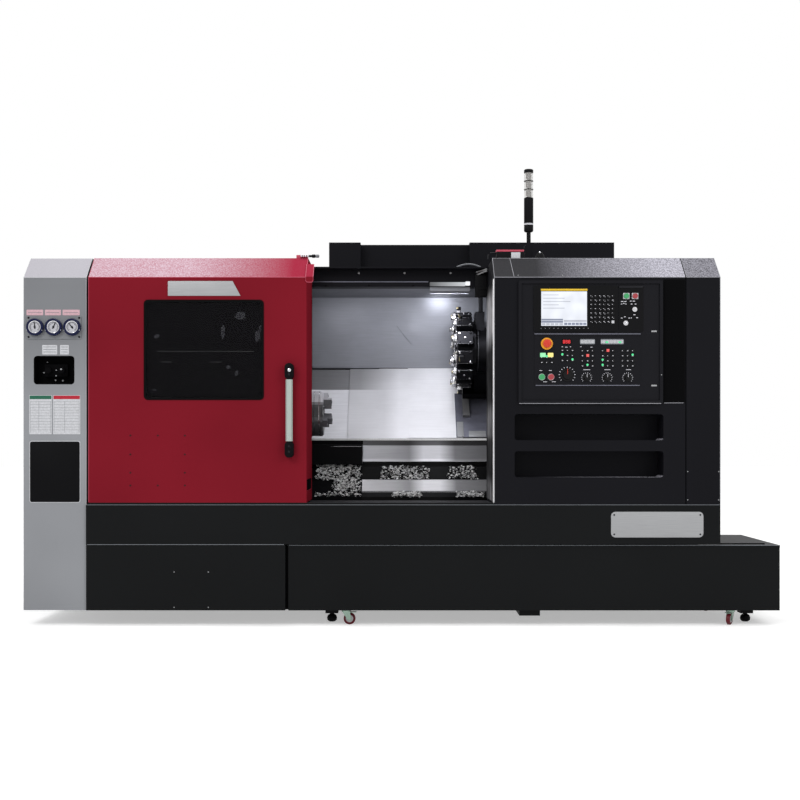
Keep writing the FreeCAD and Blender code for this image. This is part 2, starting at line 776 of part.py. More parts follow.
# Turret slide: base on the cross rails, pedestal, round housing with the coolant block that
# feeds the holders, and the indexing motor.
def turret_slide():
    base = tilted_block("disc_x + tool_square * 1.7", "turret_along - slide_half",
                        "skin + cross_rail_high + seat_gap",
                        "saddle_x + saddle_length - disc_x - tool_square * 1.7", "2 * slide_half",
                        "slide_thick")
    pedestal = tilted_block("housing_x", "turret_along - pedestal_half", "slide_top", "housing_length",
                            "2 * pedestal_half", "plane_off - slide_top")
    housing = rod("x", "housing_x", "turret_y", "turret_z", "housing_radius", "housing_length")
    motor = rod("x", "housing_x + housing_length", "turret_y", "turret_z", "motor_radius", "motor_length")
    manifold = block("housing_x", "turret_y - manifold_depth / 2", "turret_z + housing_radius / 2",
                     "manifold_width", "manifold_depth", "manifold_high - housing_radius / 2")
    bore = rod("x", "housing_x - 1", "turret_y", "turret_z", "turret_shaft + fit_gap", "housing_length / 2")
    sub_part("turret_slide", without(joined(base, pedestal, housing, motor, manifold), bore))


# Twelve-sided turret disc with a ring of coolant holes, turning on a shaft in the housing.
def turret_disc():
    corner = "disc_flat / cos(180 / stations)"
    turns = [f"(({k} + 0.5) * 360 / stations + slant)" for k in range(counts["stations"])]
    sides = [(f"{corner} * cos{turn}", f"{corner} * sin{turn}") for turn in turns]
    body = extruded("YZ", sides, "disc_x", "disc_thick - seat_gap")
    put(body, "disc_x", "turret_y", "turret_z")
    doc.recompute()
    prism = body.Tip
    front_edges = []
    for number, edge in enumerate(prism.Shape.Edges, start=1):
        if all(abs(vertex.Point.x) < 0.01 for vertex in edge.Vertexes):
            front_edges.append(f"Edge{number}")
    bevel = body.newObject("PartDesign::Chamfer", "Bevel")
    bevel.Base = (prism, front_edges)
    bind(bevel, {"Size": "station_hole"})
    sketch = body.newObject("Sketcher::SketchObject", "CoolantHole")
    sketch.AttachmentSupport = [([f for f in body.Origin.OriginFeatures if f.Role == "YZ_Plane"][0], "")]
    sketch.MapMode = "FlatFace"
    sketch.addGeometry(Part.Circle(FreeCAD.Vector(0, 100, 0), FreeCAD.Vector(0, 0, 1), 8), False)
    sketch.addConstraint(Sketcher.Constraint("PointOnObject", 0, 3, -2))
    ring = sketch.addConstraint(Sketcher.Constraint("DistanceY", -1, 1, 0, 3, 100))
    size = sketch.addConstraint(Sketcher.Constraint("Radius", 0, 8))
    sketch.setExpression(f"Constraints[{ring}]", on_sheet("station_hole_ring"))
    sketch.setExpression(f"Constraints[{size}]", on_sheet("station_hole"))
    doc.recompute()
    solid_volume = body.Shape.Volume
    hole = body.newObject("PartDesign::Pocket", "Hole")
    hole.Profile = sketch
    hole.Reversed = True
    bind(hole, {"Length": "disc_thick / 4"})
    doc.recompute()
    pattern = body.newObject("PartDesign::PolarPattern", "HoleRing")
    pattern.Originals = [hole]
    pattern.Axis = ([f for f in body.Origin.OriginFeatures if f.Role == "X_Axis"][0], [""])
    pattern.Angle = 360
    bind(pattern, {"Occurrences": "stations"})
    body.Tip = pattern
    doc.recompute()
    print("turret holes take", round(solid_volume - body.Shape.Volume), "mm3")
    boss = turned("x", [(0, 0), (0, "disc_boss - 8"), (8, "disc_boss"), (9, "disc_boss"), (9, 0)],
                  "disc_x - 8", "turret_y", "turret_z")
    shaft = rod("x", "housing_x - 1", "turret_y", "turret_z", "turret_shaft", "housing_length / 2 - 5")
    sub_part("turret_disc", joined(body, boss, shaft))


# Twelve tool holders bolted to the flats: turning tools and boring bars take turns.
def tool_holders():
    centre = ("turret_y", "turret_z")
    holders = []
    for station in range(counts["stations"]):
        angle = f"{station} * 360 / stations + slant"
        head = tilted_block("disc_x - 5", "-holder_width / 2", "disc_flat", "holder_length",
                            "holder_width", "holder_high", angle, centre)
        if station % 2 == 0:
            wedge = tilted_block("disc_x - 21", "-holder_width / 4", "disc_flat + 10", 18,
                                 "holder_width / 2", "holder_high - 16", angle, centre)
            tool = tilted_block("disc_x + 6", "-tool_square / 2", "disc_flat + holder_high - 10",
                                "tool_square", "tool_square", "tool_reach + 10", angle, centre)
            holders.append(joined(head, wedge, tool))
        else:
            y, z = tilted_point(0, "disc_flat + bar_boss - 2", angle, centre)
            boss = rod("x", "disc_x - 5 - bar_boss_length", y, z, "bar_boss", "bar_boss_length + 6")
            bar = rod("x", "disc_x - 5 - boring_reach", y, z, "boring_bar", "boring_reach")
            holders.append(joined(head, boss, bar))
    sub_part("tool_holders", grouped(*holders))


def headstock():
    half = "head_half"
    foot = tilted_block("head_back", "-lip_reach - head_half", "-rail_lift", "head_length",
                        "2 * head_half", "plane_off + rail_lift")
    barrel = rod("x", "head_back", "spindle_y", "spindle_height", half, "head_length")
    cap = rod("x", "head_front", "spindle_y", "spindle_height", "nose_radius + 30", "3 * skin")
    bore = rod("x", "head_back - 1", "spindle_y", "spindle_height", "spindle_radius + fit_gap",
               "head_length + 20")
    sub_part("headstock", without(joined(foot, barrel, cap), bore))


# Hollow spindle with its nose flange and the hydraulic chucking cylinder at the rear.
def spindle():
    shaft_end = "-nose_length - 4 * skin - head_length - 20"
    rear = f"{shaft_end} - cylinder_length"
    profile = [
        (0, "bar_bore"), (0, "nose_radius"), ("-nose_length", "nose_radius"),
        ("-nose_length", "spindle_radius"), (shaft_end, "spindle_radius"), (shaft_end, "cylinder_radius"),
        (rear, "cylinder_radius"), (rear, "bar_bore"),
    ]
    sub_part("spindle", turned("x", profile, "chuck_back", "spindle_y", "spindle_height"))


def jaw_angles():
    for number in range(3):
        yield number + 1, f"{number} * 120"


# Three-jaw power chuck: bevelled body, through bore and three radial guideways.
def chuck_body():
    body = turned("x", [
        (0, "bar_bore"), (0, "chuck_radius - 6"), (6, "chuck_radius"), ("chuck_length - 8", "chuck_radius"),
        ("chuck_length", "chuck_radius - 8"), ("chuck_length", "bar_bore + 4"),
        ("chuck_length - 12", "bar_bore + 4"), ("chuck_length - 12", "bar_bore"),
    ], "chuck_back", "spindle_y", "spindle_height")
    centre = ("spindle_y", "spindle_height")
    slots = [tilted_block("chuck_x - jaw_key_deep - fit_gap", "-jaw_key / 2 - fit_gap", "bar_bore - 8",
                          "jaw_key_deep + 2", "jaw_key + 2 * fit_gap", "chuck_radius", angle, centre)
             for number, angle in jaw_angles()]
    mounting = [tilted_block("chuck_x - 6", "-jaw_key / 2 - 4", "chuck_radius * 0.55", 8, 3,
                             "chuck_radius", f"{angle} + 60", centre) for number, angle in jaw_angles()]
    sub_part("chuck_body", without(body, *slots, *mounting))


# Stepped chuck jaws: a key in the guideway, a broad base and a narrower gripping step.
def chuck_jaws():
    centre = ("spindle_y", "spindle_height")
    for number, angle in jaw_angles():
        key = tilted_block("chuck_x - jaw_key_deep", "-jaw_key / 2", "jaw_inner + 4", "jaw_key_deep + 5",
                           "jaw_key", "jaw_outer - jaw_inner - 8", angle, centre)
        base = tilted_block("chuck_x + seat_gap", "-jaw_width / 2", "jaw_inner + 14",
                            "jaw_length * 0.55", "jaw_width", "jaw_outer - jaw_inner - 14", angle, centre)
        step = tilted_block("chuck_x + seat_gap", "-jaw_width / 2 + 3", "jaw_inner",
                            "jaw_length", "jaw_width - 6", "(jaw_outer - jaw_inner) * 0.6", angle, centre)
        sub_part(f"chuck_jaw_{number}", joined(key, base, step))


# Sliding hood door: front sheet, leaning edge, roof and deep right-hand return, folded in.
def door_shell():
    slope_back = "front + slope_depth"
    back = "front + door_reach"
    fold = "skin * 0.46"
    hood = extruded("YZ", [
        ("front", "door_floor"), ("front", "face_height"), (slope_back, "roof_height"),
        (back, "roof_height"), (back, "roof_height - skin"), (f"{slope_back} + {fold}", "roof_height - skin"),
        ("front + skin", f"face_height - {fold}"), ("front + skin", "door_floor + skin"),
        ("front + door_flange", "door_floor + skin"), ("front + door_flange", "door_floor"),
    ], "door_left", "door_width")
    side_back = f"{back} - 1.5 * cover_setback"
    side = extruded("YZ", [
        ("front", "door_floor"), ("front", "face_height"), (slope_back, "roof_height"),
        (side_back, "roof_height"), (side_back, "door_floor"),
    ], "door_right - skin", "skin")
    edge = block("door_left", "front", "door_floor", "skin", "door_flange", "face_height - door_floor")
    hole = rounded_plate("door_left + window_inset", "front - 1", "door_floor + window_floor",
                         "window_width", "skin + 2", "window_height", "window_corner")
    notch = block("door_right - 2 * skin", "front + door_flange", "door_floor + notch_floor",
                  "3 * skin", f"{side_back} - front - 2 * door_flange", "notch_height")
    sub_part("door_shell", without(joined(hood, side, edge), hole, notch))


def door_window():
    pane = rounded_plate("door_left + window_inset - window_lap", "front + skin",
                         "door_floor + window_floor - window_lap", "window_width + 2 * window_lap", "pane",
                         "window_height + 2 * window_lap", "window_corner + window_lap")
    sub_part("door_window", pane)


def window_gasket():
    face = "front - gasket_proud"
    deep = "gasket_proud + skin"
    outer = rounded_plate("door_left + window_inset", face, "door_floor + window_floor",
                          "window_width", deep, "window_height", "window_corner")
    inner = rounded_plate("door_left + window_inset + gasket_width", f"{face} - 1",
                          "door_floor + window_floor + gasket_width", "window_width - 2 * gasket_width",
                          f"{deep} + 2", "window_height - 2 * gasket_width",
                              "window_corner - gasket_width / 2")
    sub_part("window_gasket", without(outer, inner))


def door_handle():
    x = "door_right - handle_inset - handle_width"
    low = "door_floor + handle_floor"
    bar = extruded("XY", [
        (f"{x} + 5", "front - handle_proud + handle_bar_deep"), (f"{x} + 5", "front - handle_proud + 10"),
        (f"{x} + 12", "front - handle_proud + 2"), (f"{x} + handle_width - 12", "front - handle_proud + 2"),
        (f"{x} + handle_width - 5", "front - handle_proud + 10"),
        (f"{x} + handle_width - 5", "front - handle_proud + handle_bar_deep"),
    ], f"{low} + handle_end", "handle_height - 2 * handle_end")
    sub_part("handle_bar", bar)
    ends = []
    for z in (low, f"{low} + handle_height - handle_end"):
        grip = rounded_plate(x, "front - handle_proud", z, "handle_width", "handle_proud", "handle_end", 12)
        ends.append(grip)
    sub_part("handle_ends", grouped(*ends))


# Control-side enclosure: sheet shell with two rounded storage pockets in its front.
def right_enclosure():
    def section(inset, floor):
        return [(f"front + {inset}", floor), (f"front + {inset}", f"face_height - {inset} / 2"),
                (f"front + slope_depth + {inset}", f"roof_height - {inset}"),
                (f"wall_y + {inset}", f"roof_height - {inset}"), (f"wall_y + {inset}", floor)]

    shell = extruded("YZ", section(0, "sill_height"), "mouth_right", "right_width")
    inside = extruded("YZ", section("skin", "sill_height - 10"), "mouth_right + skin",
                      "right_width - 2 * skin")
    work_side = block("mouth_right - 1", "beam_front", "sill_height - 10", "skin + 2",
                      "wall_y - beam_front + 10", "ceiling - sill_height + 11")
    tubs, holes = [], []
    for row in range(2):
        z = f"pocket_floor + {row} * pocket_pitch"
        x = "mouth_right + pocket_inset"
        tubs.append(rounded_plate(f"{x} - skin", "front + skin / 2", f"{z} - skin", "pocket_width + 2 * skin",
                                  "pocket_deep", "pocket_height + 2 * skin", "pocket_corner + skin"))
        holes.append(rounded_plate(x, "front - 1", z, "pocket_width", "pocket_deep - skin",
                                   "pocket_height", "pocket_corner"))
    open_shell = without(shell, inside, work_side)
    sub_part("right_enclosure", without(joined(open_shell, *tubs), *holes))


def end_cabinet():
    cabinet = extruded("YZ", [
        ("front", "sill_height"), ("front", "face_height"), ("front + slope_depth", "roof_height"),
        ("wall_y", "roof_height"), ("wall_y", "tank_top + seam"),
        ("front + sill_depth + skin", "tank_top + seam"), ("front + sill_depth + skin", "sill_height"),
    ], "end_left", "end_width")
    sub_part("end_cabinet", cabinet)


# Raised frame round the controls: a flat plate with a shallow recess.
def console_frame():
    plate = rounded_plate("console_x", "console_face", "console_floor", "console_width",
                          "console_proud", "console_height", "console_corner")
    recess = rounded_plate("console_x + console_border", "console_face - 1",
                           "console_floor + console_border", "console_width - 2 * console_border",
                           "console_recess + 1", "console_height - 2 * console_border",
                           "console_corner / 2")
    wells = [rod("y", x, "console_face - 1", z, radius, "console_proud + 2")
             for x, z, radius in stem_spots()]
    sub_part("console_frame", without(plate, recess, *wells))


def stem_spots():
    """Where a button's or a knob's stem runs back through the panels, and its hole."""
    yield "panel_x + stop_inset", "panel_z + stop_height", "stop_stem + fit_gap"
    for x, z in power_spots():
        yield x, z, "press_stem + fit_gap"
    for x, z in press_spots():
        yield x, z, "press_stem + fit_gap"
    for name, x, z, radius in knob_spots():
        yield x, z, "needle_pin * 2 + fit_gap"


def press_spots():
    yield "panel_x + press_inset", "panel_z + press_height"
    yield "panel_x + press_inset + press_pitch", "panel_z + press_height"


def key_field(x, z, columns, rows, pitch, size, face):
    """Square keys standing a little proud of a panel's face."""
    for column in range(columns):
        for row in range(rows):
            yield block(f"{x} + {column} * {pitch}", f"{face} - key_proud", f"{z} + {row} * {pitch}",
                        size, "key_proud + 1", size)


# Display unit: bezel with the sunk screen, a row of soft keys and the data keypad.
def display_unit():
    face = "recess_face - 4"
    bezel = rounded_plate("unit_x", face, "unit_z", "unit_width", 4, "unit_height", 4)
    well = block("unit_x + screen_inset", f"{face} - 1", "unit_z + screen_floor",
                 "screen_width", "screen_sink", "screen_height")
    keys = list(key_field("unit_x + screen_inset - 10", "unit_z + 9", counts["soft_keys"], 1,
                          "soft_key_pitch", "soft_key_size", face))
    keys += key_field("unit_x + screen_inset + screen_width + pad_key_size", "unit_z + screen_floor + 12",
                      counts["pad_columns"], counts["pad_rows"], "pad_key_pitch", "pad_key_size", face)
    sub_part("display_unit", joined(without(bezel, well), *keys))


def screen():
    pane = block("unit_x + screen_inset", "recess_face - 3", "unit_z + screen_floor",
                 "screen_width", 2, "screen_height")
    sub_part("screen", pane)


def switch_panel():
    plate = rounded_plate("switch_x", "panel_face", "unit_z", "switch_width", 2, "unit_height", 4)
    bar = block("switch_x", "panel_face - 2", "unit_z + unit_height - switch_bar", "switch_width", 3,
                "switch_bar")
    holes = [rod("y", x, "panel_face - 3", z, "press_stem + fit_gap", 7) for x, z in power_spots()]
    locks = [turned("y", [(0, 0), (0, 13), (-5, 12), (-5, 6), (-9, 6), (-9, 0)], f"switch_x + {x}",
                    "panel_face", f"unit_z + {z}") for x, z in ((82, 113), (36, 43))]
    keeper = without(joined(plate, bar, *locks), *holes)
    sub_part("switch_panel", keeper)


def power_spots():
    yield "switch_x + power_inset", "unit_z + unit_height - power_drop"
    yield "switch_x + power_inset + power_pitch", "unit_z + unit_height - power_drop"


# Left and lower edge of each key group inside the operator panel, its columns and rows.
key_groups = ((30, 114, 3, 2), (136, 124, 3, 3), (239, 96, 3, 4), (343, 96, 3, 4), (445, 96, 3, 4))
# Left and lower edge of each lamp window inside the operator panel, its width and height.
lamp_windows = ((28, 147, 31, 24), (67, 147, 31, 24), (140, 214, 49, 26), (234, 214, 77, 27),
                (340, 214, 119, 27))


# Operator panel: key groups, lamp windows, sockets for the buttons and knobs, stop collar.
def operator_panel():
    plate = rounded_plate("panel_x", "panel_face", "panel_z", "panel_width", 2, "panel_height", 4)
    bar = block("panel_x", "panel_face - 2", "panel_z + panel_height - switch_bar", "panel_width", 3,
                "switch_bar")
    collar = turned("y", [(0, 0), (0, "stop_collar"), (-2, "stop_collar"), (-4, "stop_collar - 3"), (-4, 0)],
                    "panel_x + stop_inset", "panel_face", "panel_z + stop_height")
    keys = []
    for x, z, columns, rows in key_groups:
        keys += key_field(f"panel_x + {x}", f"panel_z + {z}", columns, rows, "panel_key_pitch",
                          "panel_key", "panel_face")
    lamps = [block(f"panel_x + {x}", "panel_face - 1", f"panel_z + {z}", wide, 2, high)
             for x, z, wide, high in lamp_windows]
    sockets = [rod("y", x, "panel_face - 6", z, radius, 10) for x, z, radius in stem_spots()]
    sub_part("operator_panel", without(joined(plate, bar, collar, *keys, *lamps), *sockets))


def knob_spots():
    yield "mode_dial", "panel_x + dial_inset", "panel_z + dial_height", "dial_radius"
    for number, name in enumerate(("spindle_knob", "feed_knob", "rapid_knob")):
        yield name, f"panel_x + knob_inset + {number} * knob_pitch", "panel_z + knob_height", "knob_radius"


# Stop mushroom on its stem.
def e_stop_button():
    profile = [
        (3, 0), (3, "stop_stem"), ("-stop_proud + 16", "stop_stem"), ("-stop_proud + 16", "stop_radius - 3"),
        ("-stop_proud + 12", "stop_radius"), ("-stop_proud + 5", "stop_radius - 1"),
        ("-stop_proud + 1", "stop_radius - 7"), ("-stop_proud", "stop_radius - 14"), ("-stop_proud", 0),
    ]
    sub_part("e_stop_button", turned("y", profile, "panel_x + stop_inset", "panel_face",
                                    "panel_z + stop_height"))


def push_buttons():
    power_on, power_off = power_spots()
    start, hold = press_spots()
    spots = (("cycle_start_button", *start, "press_radius"), ("feed_hold_button", *hold, "press_radius"),
             ("power_on_button", *power_on, "power_radius"),
             ("power_off_button", *power_off, "power_radius"))
    for name, x, z, radius in spots:
        profile = [(3, 0), (3, "press_stem"), (-5, "press_stem"), (-5, radius), (-12, radius),
                   (-14, f"{radius} - 3"), (-14, 0)]
        sub_part(name, turned("y", profile, x, "panel_face - press_travel / 4", z))


# Rotary knobs: skirt, tapered grip and a raised pointer bar.
def rotary_knobs():
    for name, x, z, radius in knob_spots():
        grip = turned("y", [
            (3, 0), (3, "needle_pin * 2"), ("-seat_gap", "needle_pin * 2"), ("-seat_gap", radius),
            (-4, f"{radius} - 1"), (-5, f"{radius} * 0.72"), ("-knob_proud", f"{radius} * 0.64"),
            ("-knob_proud", 0),
        ], x, "panel_face", z)
        pointer = block(f"{x} - 1.5", "panel_face - knob_proud - 2", z, 3, "knob_proud - 2",
                        f"{radius} * 0.95")
        sub_part(name, joined(grip, pointer))


# Coolant tank: welded box with a folded rim, pushed up to the bed; the rear casters' fixed
# forks and the front casters' swivel plates hang under its floor.
def coolant_tank():
    y = "front + tank_setback"
    deep = f"bed_face - ({y})"
    tub = block("tank_left", y, "tank_floor", "tank_right - tank_left", deep, "tank_top - tank_floor")
    rim = block("tank_left", f"{y} - skin", "tank_top - tank_rim", "tank_right - tank_left", f"{deep} + skin",
                "tank_rim")
    lid = block("tank_right - lid_inset", f"{y} + 60", "tank_top", "lid_width", "lid_depth", "2 * skin")
    step = block("tank_left + bracket_inset", f"{y} + 30", "tank_floor - bracket_high", "bracket_width",
                 "bracket_depth", "bracket_high")
    plates = [rod("z", x, "front + caster_depth", "tank_floor - 6", "wheel_radius * 0.8", 7)
              for x in caster_x()]
    pins = [rod("z", x, "front + caster_depth", "tank_floor - 14", "stem_radius * 0.5", 14)
            for x in caster_x()]
    forks = []
    for x in caster_x():
        for cheek in fork_cheeks(x, "front + caster_rear", 0):
            forks.append(cheek)
        forks.append(block(f"{x} - wheel_radius", "front + caster_rear - wheel_radius * 0.8",
                           "tank_floor - 8", "2 * wheel_radius", "wheel_radius * 1.6", 9))
        forks.append(rod("y", x, "front + caster_rear - wheel_width / 2 - fork_cheek - 1",
                         "wheel_radius", "wheel_bore - fit_gap", "wheel_width + 2 * fork_cheek + 4"))
    sub_part("coolant_tank", joined(tub, rim, lid, step, *plates, *pins, *forks))


def caster_x():
    yield "tank_left + caster_left"
    yield "tank_right - caster_right"


def fork_cheeks(x, y, trail):
    """Two cheeks of a caster fork, each a plate that narrows towards the axle."""
    for side in (-1, 1):
        start = f"{y} + {side} * (wheel_width / 2 + 1 + fork_cheek / 2) - fork_cheek / 2"
        yield extruded("XZ", [
            (f"{x} - {trail} - 9", "wheel_radius - 8"), (f"{x} - {trail} + 9", "wheel_radius - 8"),
            (f"{x} + wheel_radius * 0.6", "tank_floor - 14"), (f"{x} + wheel_radius * 0.6", "tank_floor - 8"),
            (f"{x} - wheel_radius * 0.6", "tank_floor - 8"), (f"{x} - {trail} - 9", "wheel_radius"),
        ], start, "fork_cheek")


# Swivelling caster forks, each built at the origin of its swivel axis and then turned.
def caster_forks():
    for number, (x, turn) in enumerate(zip(caster_x(), ("180", "caster_turn")), start=1):
        cheeks = list(fork_cheeks("0", "0", "caster_trail"))
        crown = rod("z", 0, 0, "tank_floor - 14", "wheel_radius * 0.75", "8 - seat_gap")
        axle = rod("y", "-caster_trail", "-wheel_width / 2 - fork_cheek - 3", "wheel_radius",
                   "wheel_bore - fit_gap", "wheel_width + 2 * fork_cheek + 6")
        lever = block("-caster_trail - 36", "-wheel_width / 2 - fork_cheek - 1", "2 * wheel_radius + 1",
                      40, "wheel_width + 2 * fork_cheek + 2", 2.6)
        bore = rod("z", 0, 0, "tank_floor - 20", "stem_radius * 0.5 + fit_gap", 20)
        fork = without(joined(*cheeks, crown, axle, lever), bore)
        sub_part(f"caster_fork_{number}", put(spun(fork, "z", turn), x, "front + caster_depth", 0))


def caster_wheels():
    front_x, right_x = caster_x()
    swivelled_x = f"{right_x} - caster_trail * cos(caster_turn)"
    swivelled_y = "front + caster_depth - caster_trail * sin(caster_turn)"
    spots = ((front_x + " + caster_trail", "front + caster_depth", "180"),
             (swivelled_x, swivelled_y, "caster_turn"),
             (front_x, "front + caster_rear", "180"), (right_x, "front + caster_rear", "180"))
    half = "wheel_width / 2"
    for number, (x, y, turn) in enumerate(spots, start=1):
        wheel = turned("y", [
            (f"-{half} + 1", "wheel_bore"), (f"-{half} + 1", "wheel_radius - 9"),
            (f"-{half} + 4", "wheel_radius - 8"), (f"-{half}", "wheel_radius - 6"),
            (f"-{half} + 4", "wheel_radius"),
            (f"{half} - 4", "wheel_radius"), (half, "wheel_radius - 6"), (f"{half} - 4", "wheel_radius - 8"),
            (f"{half} - 1", "wheel_radius - 9"), (f"{half} - 1", "wheel_bore"),
        ], x, y, "wheel_radius")
        sub_part(f"caster_wheel_{number}", put(spun(wheel, "z", turn), x, y, "wheel_radius"))


# Foot of the signal tower: base plate with two ears and the pivot pin between them.
def tower_foot():
    y = "front + tower_depth"
    half = "tower_boss * 0.45"
    plate = block("tower_x - tower_boss", f"{y} - tower_boss", "roof_height", "2 * tower_boss",
                  "2 * tower_boss", 6)
    ears = []
    for side in (-1, 1):
        start = f"{y} + {side} * ({half} + seat_gap + tower_ear / 2) - tower_ear / 2"
        ears.append(block("tower_x - tower_boss * 0.8", start, "roof_height + 5",
                          "tower_boss * 1.6", "tower_ear", "tower_pivot - 5"))
        ears.append(rod("y", "tower_x", start, "pivot_z", "tower_boss * 0.8", "tower_ear"))
    pin = rod("y", "tower_x", f"{y} - {half} - tower_ear", "pivot_z", "tower_pin - fit_gap",
              f"2 * ({half} + tower_ear)")
    sub_part("tower_foot", joined(plate, *ears, pin))


# Folding signal tower: pivot boss, pole, dark base and three clear lenses under a cap.
def signal_tower():
    y = "front + tower_depth"
    half = "tower_boss * 0.45"
    boss = rod("y", "tower_x", f"{y} - {half}", "pivot_z", "tower_boss * 0.75", f"2 * {half}")
    bore = rod("y", "tower_x", f"{y} - {half} - 1", "pivot_z", "tower_pin", f"2 * {half} + 2")
    body = "tower_body_floor + tower_body"
    stack = turned("z", [
        (0, 0), (0, "tower_pole"), ("tower_body_floor", "tower_pole"),
        ("tower_body_floor", "tower_radius - 4"),
        ("tower_body_floor + 6", "tower_radius"), (body, "tower_radius"),
        (f"{body} + 2", "tower_radius - 2"), (f"{body} + lens_height - 2", "tower_radius - 2"),
        (f"{body} + lens_height", "tower_radius"), (f"{body} + lens_height + 2", "tower_radius - 2"),
        (f"{body} + 2 * lens_height - 2", "tower_radius - 2"), (f"{body} + 2 * lens_height", "tower_radius"),
        (f"{body} + 2 * lens_height + 2", "tower_radius - 2"),
        (f"{body} + 3 * lens_height - 2", "tower_radius - 2"), (f"{body} + 3 * lens_height", "tower_radius"),
        (f"{body} + 3 * lens_height + 14", "tower_radius"),
        (f"{body} + 3 * lens_height + 18", "tower_radius - 4"),
        (f"{body} + 3 * lens_height + 18", 0),
    ], "tower_x", y, "pivot_z")
    sub_part("signal_tower", without(joined(boss, stack), bore))


def rear_section(front_y, floor, back):
    """Profile of a rear casing that sits over the back of the bed."""
    top_y, top_z = tilted_point("slope_length - saddle_low / 2", "-rail_lift")
    return [(front_y, "roof_height"), (front_y, "slope_top + seam * 2"),
            ("bed_rear", f"{top_z} - bed_shoulder + 60"), ("bed_rear", floor), (back, floor),
            (back, "roof_height")]


# Rear casing with its raised hoods and two banks of cooling slots.
def rear_cover():
    main = extruded("YZ", rear_section("wall_y", "skirt_gap", "rear_face"), "door_left",
                    "cabinet_left - door_left")
    tall = block("door_right + hood_left", "wall_y", "roof_height - 1", "hood_width", "rear_face - wall_y",
                 "hood_height + 1")
    middle_x = "door_right + hood_left + hood_width - 1"
    middle = block(middle_x, "wall_y + hood_setback", "roof_height - 1", f"cabinet_left - ({middle_x})",
                   "rear_face - wall_y - hood_setback", "hood_height + 1")
    slots = []
    for bank in range(2):
        for number in range(counts["louvres"]):
            slots.append(block(f"door_left + louvre_inset + {bank} * louvre_banks", "rear_face - 14",
                               f"sill_height + {number} * louvre_pitch", "louvre_width", 20, "louvre_high"))
    sub_part("rear_cover", without(joined(main, tall, middle), *slots))


# Height above the cabinet's floor and height of each row of modules inside it.
module_rows = ((260, 90), (560, 160), (960, 110), (1400, 240))


# Electrical cabinet: hollow casing with a mounting plate and four rows of modules inside.
def electrical_cabinet():
    case = extruded("YZ", rear_section("wall_y", "cabinet_floor", "cabinet_back"), "cabinet_left",
                    "cabinet_width")
    upper = block("cabinet_left", "wall_y", "roof_height - 1", "cabinet_width", "cabinet_back - wall_y",
                  "hood_height + 1")
    inside = block("cabinet_left + cabinet_skin", "bed_rear + cabinet_skin", "cabinet_floor + cabinet_skin",
                   "cabinet_width - 2 * cabinet_skin", "cabinet_back - bed_rear",
                   "roof_height + hood_height - cabinet_floor - 2 * cabinet_skin")
    plate = block("cabinet_left + module_inset / 2", "bed_rear + cabinet_skin - 1",
                  "cabinet_floor + module_inset", "cabinet_width - module_inset", 12,
                  "roof_height + hood_height - cabinet_floor - 2 * module_inset")
    rows = [block("cabinet_left + module_inset", "bed_rear + cabinet_skin + 10", f"cabinet_floor + {z}",
                  "cabinet_width - 2 * module_inset", "module_depth", high) for z, high in module_rows]
    pins = [rod("z", "cabinet_left + cabinet_width - hinge_radius - 2", "cabinet_back + hinge_radius + 2",
                z, "hinge_radius * 0.5", 44) for z in hinge_heights()]
    straps = [block("cabinet_left + cabinet_width - 2 * hinge_radius - 4", "cabinet_back - 1", z,
                    "2 * hinge_radius + 4", "2 * hinge_radius", 10) for z in hinge_heights()]
    sub_part("electrical_cabinet", joined(without(joined(case, upper), inside), plate, *rows, *pins, *straps))


def hinge_heights():
    for share in (0.12, 0.5, 0.88):
        yield f"cabinet_floor + (roof_height + hood_height - cabinet_floor) * {share}"


# Cabinet door with its knuckles round the hinge pins and the rotary main switch.
def cabinet_door():
    high = "roof_height + hood_height - cabinet_floor"
    hinge_room = "2 * hinge_radius + 6"
    leaf = block("cabinet_left", "cabinet_back + seat_gap", "cabinet_floor",
                 f"cabinet_width - ({hinge_room})", "cabinet_door - seat_gap", high)
    knuckles, bores = [], []
    axis = ("cabinet_left + cabinet_width - hinge_radius - 2", "cabinet_back + hinge_radius + 2")
    for z in hinge_heights():
        start = f"{z} + 10 + seat_gap"
        knuckles.append(rod("z", *axis, start, "hinge_radius", 30))
        knuckles.append(block(f"cabinet_left + cabinet_width - ({hinge_room}) - 1",
                              "cabinet_back + hinge_radius - 1", start, "hinge_radius + 2",
                              "hinge_radius + 3", 30))
        bores.append(rod("z", *axis, f"{z} + 5", "hinge_radius * 0.5 + fit_gap", 50))
    switch_x, switch_z = "cabinet_left + cabinet_width / 4", "face_height - 200"
    rose = rod("y", switch_x, "cabinet_back + cabinet_door - 1", switch_z, 38, 9)
    grip = block(f"{switch_x} - 9", "cabinet_back + cabinet_door", f"{switch_z} - 32", 18,
                 "cabinet_switch", 64)
    sub_part("cabinet_door", without(joined(leaf, *knuckles, rose, grip), *bores))


machine_bed()
levelling_feet()
front_apron()
left_skirt()
services_column()
gauge_cases()
gauge_needles()
headstock_cover()
header_beam()
roof_conduit()
work_light()
splash_wall()
bed_guard()
way_covers()
saddle()
turret_slide()
turret_disc()
tool_holders()
headstock()
spindle()
chuck_body()
chuck_jaws()
door_shell()
door_window()
window_gasket()
door_handle()
right_enclosure()
end_cabinet()
console_frame()
display_unit()
screen()
switch_panel()
operator_panel()
e_stop_button()
push_buttons()
rotary_knobs()
coolant_tank()
caster_forks()
caster_wheels()
tower_foot()
signal_tower()
rear_cover()
electrical_cabinet()
cabinet_door()
doc.recompute()

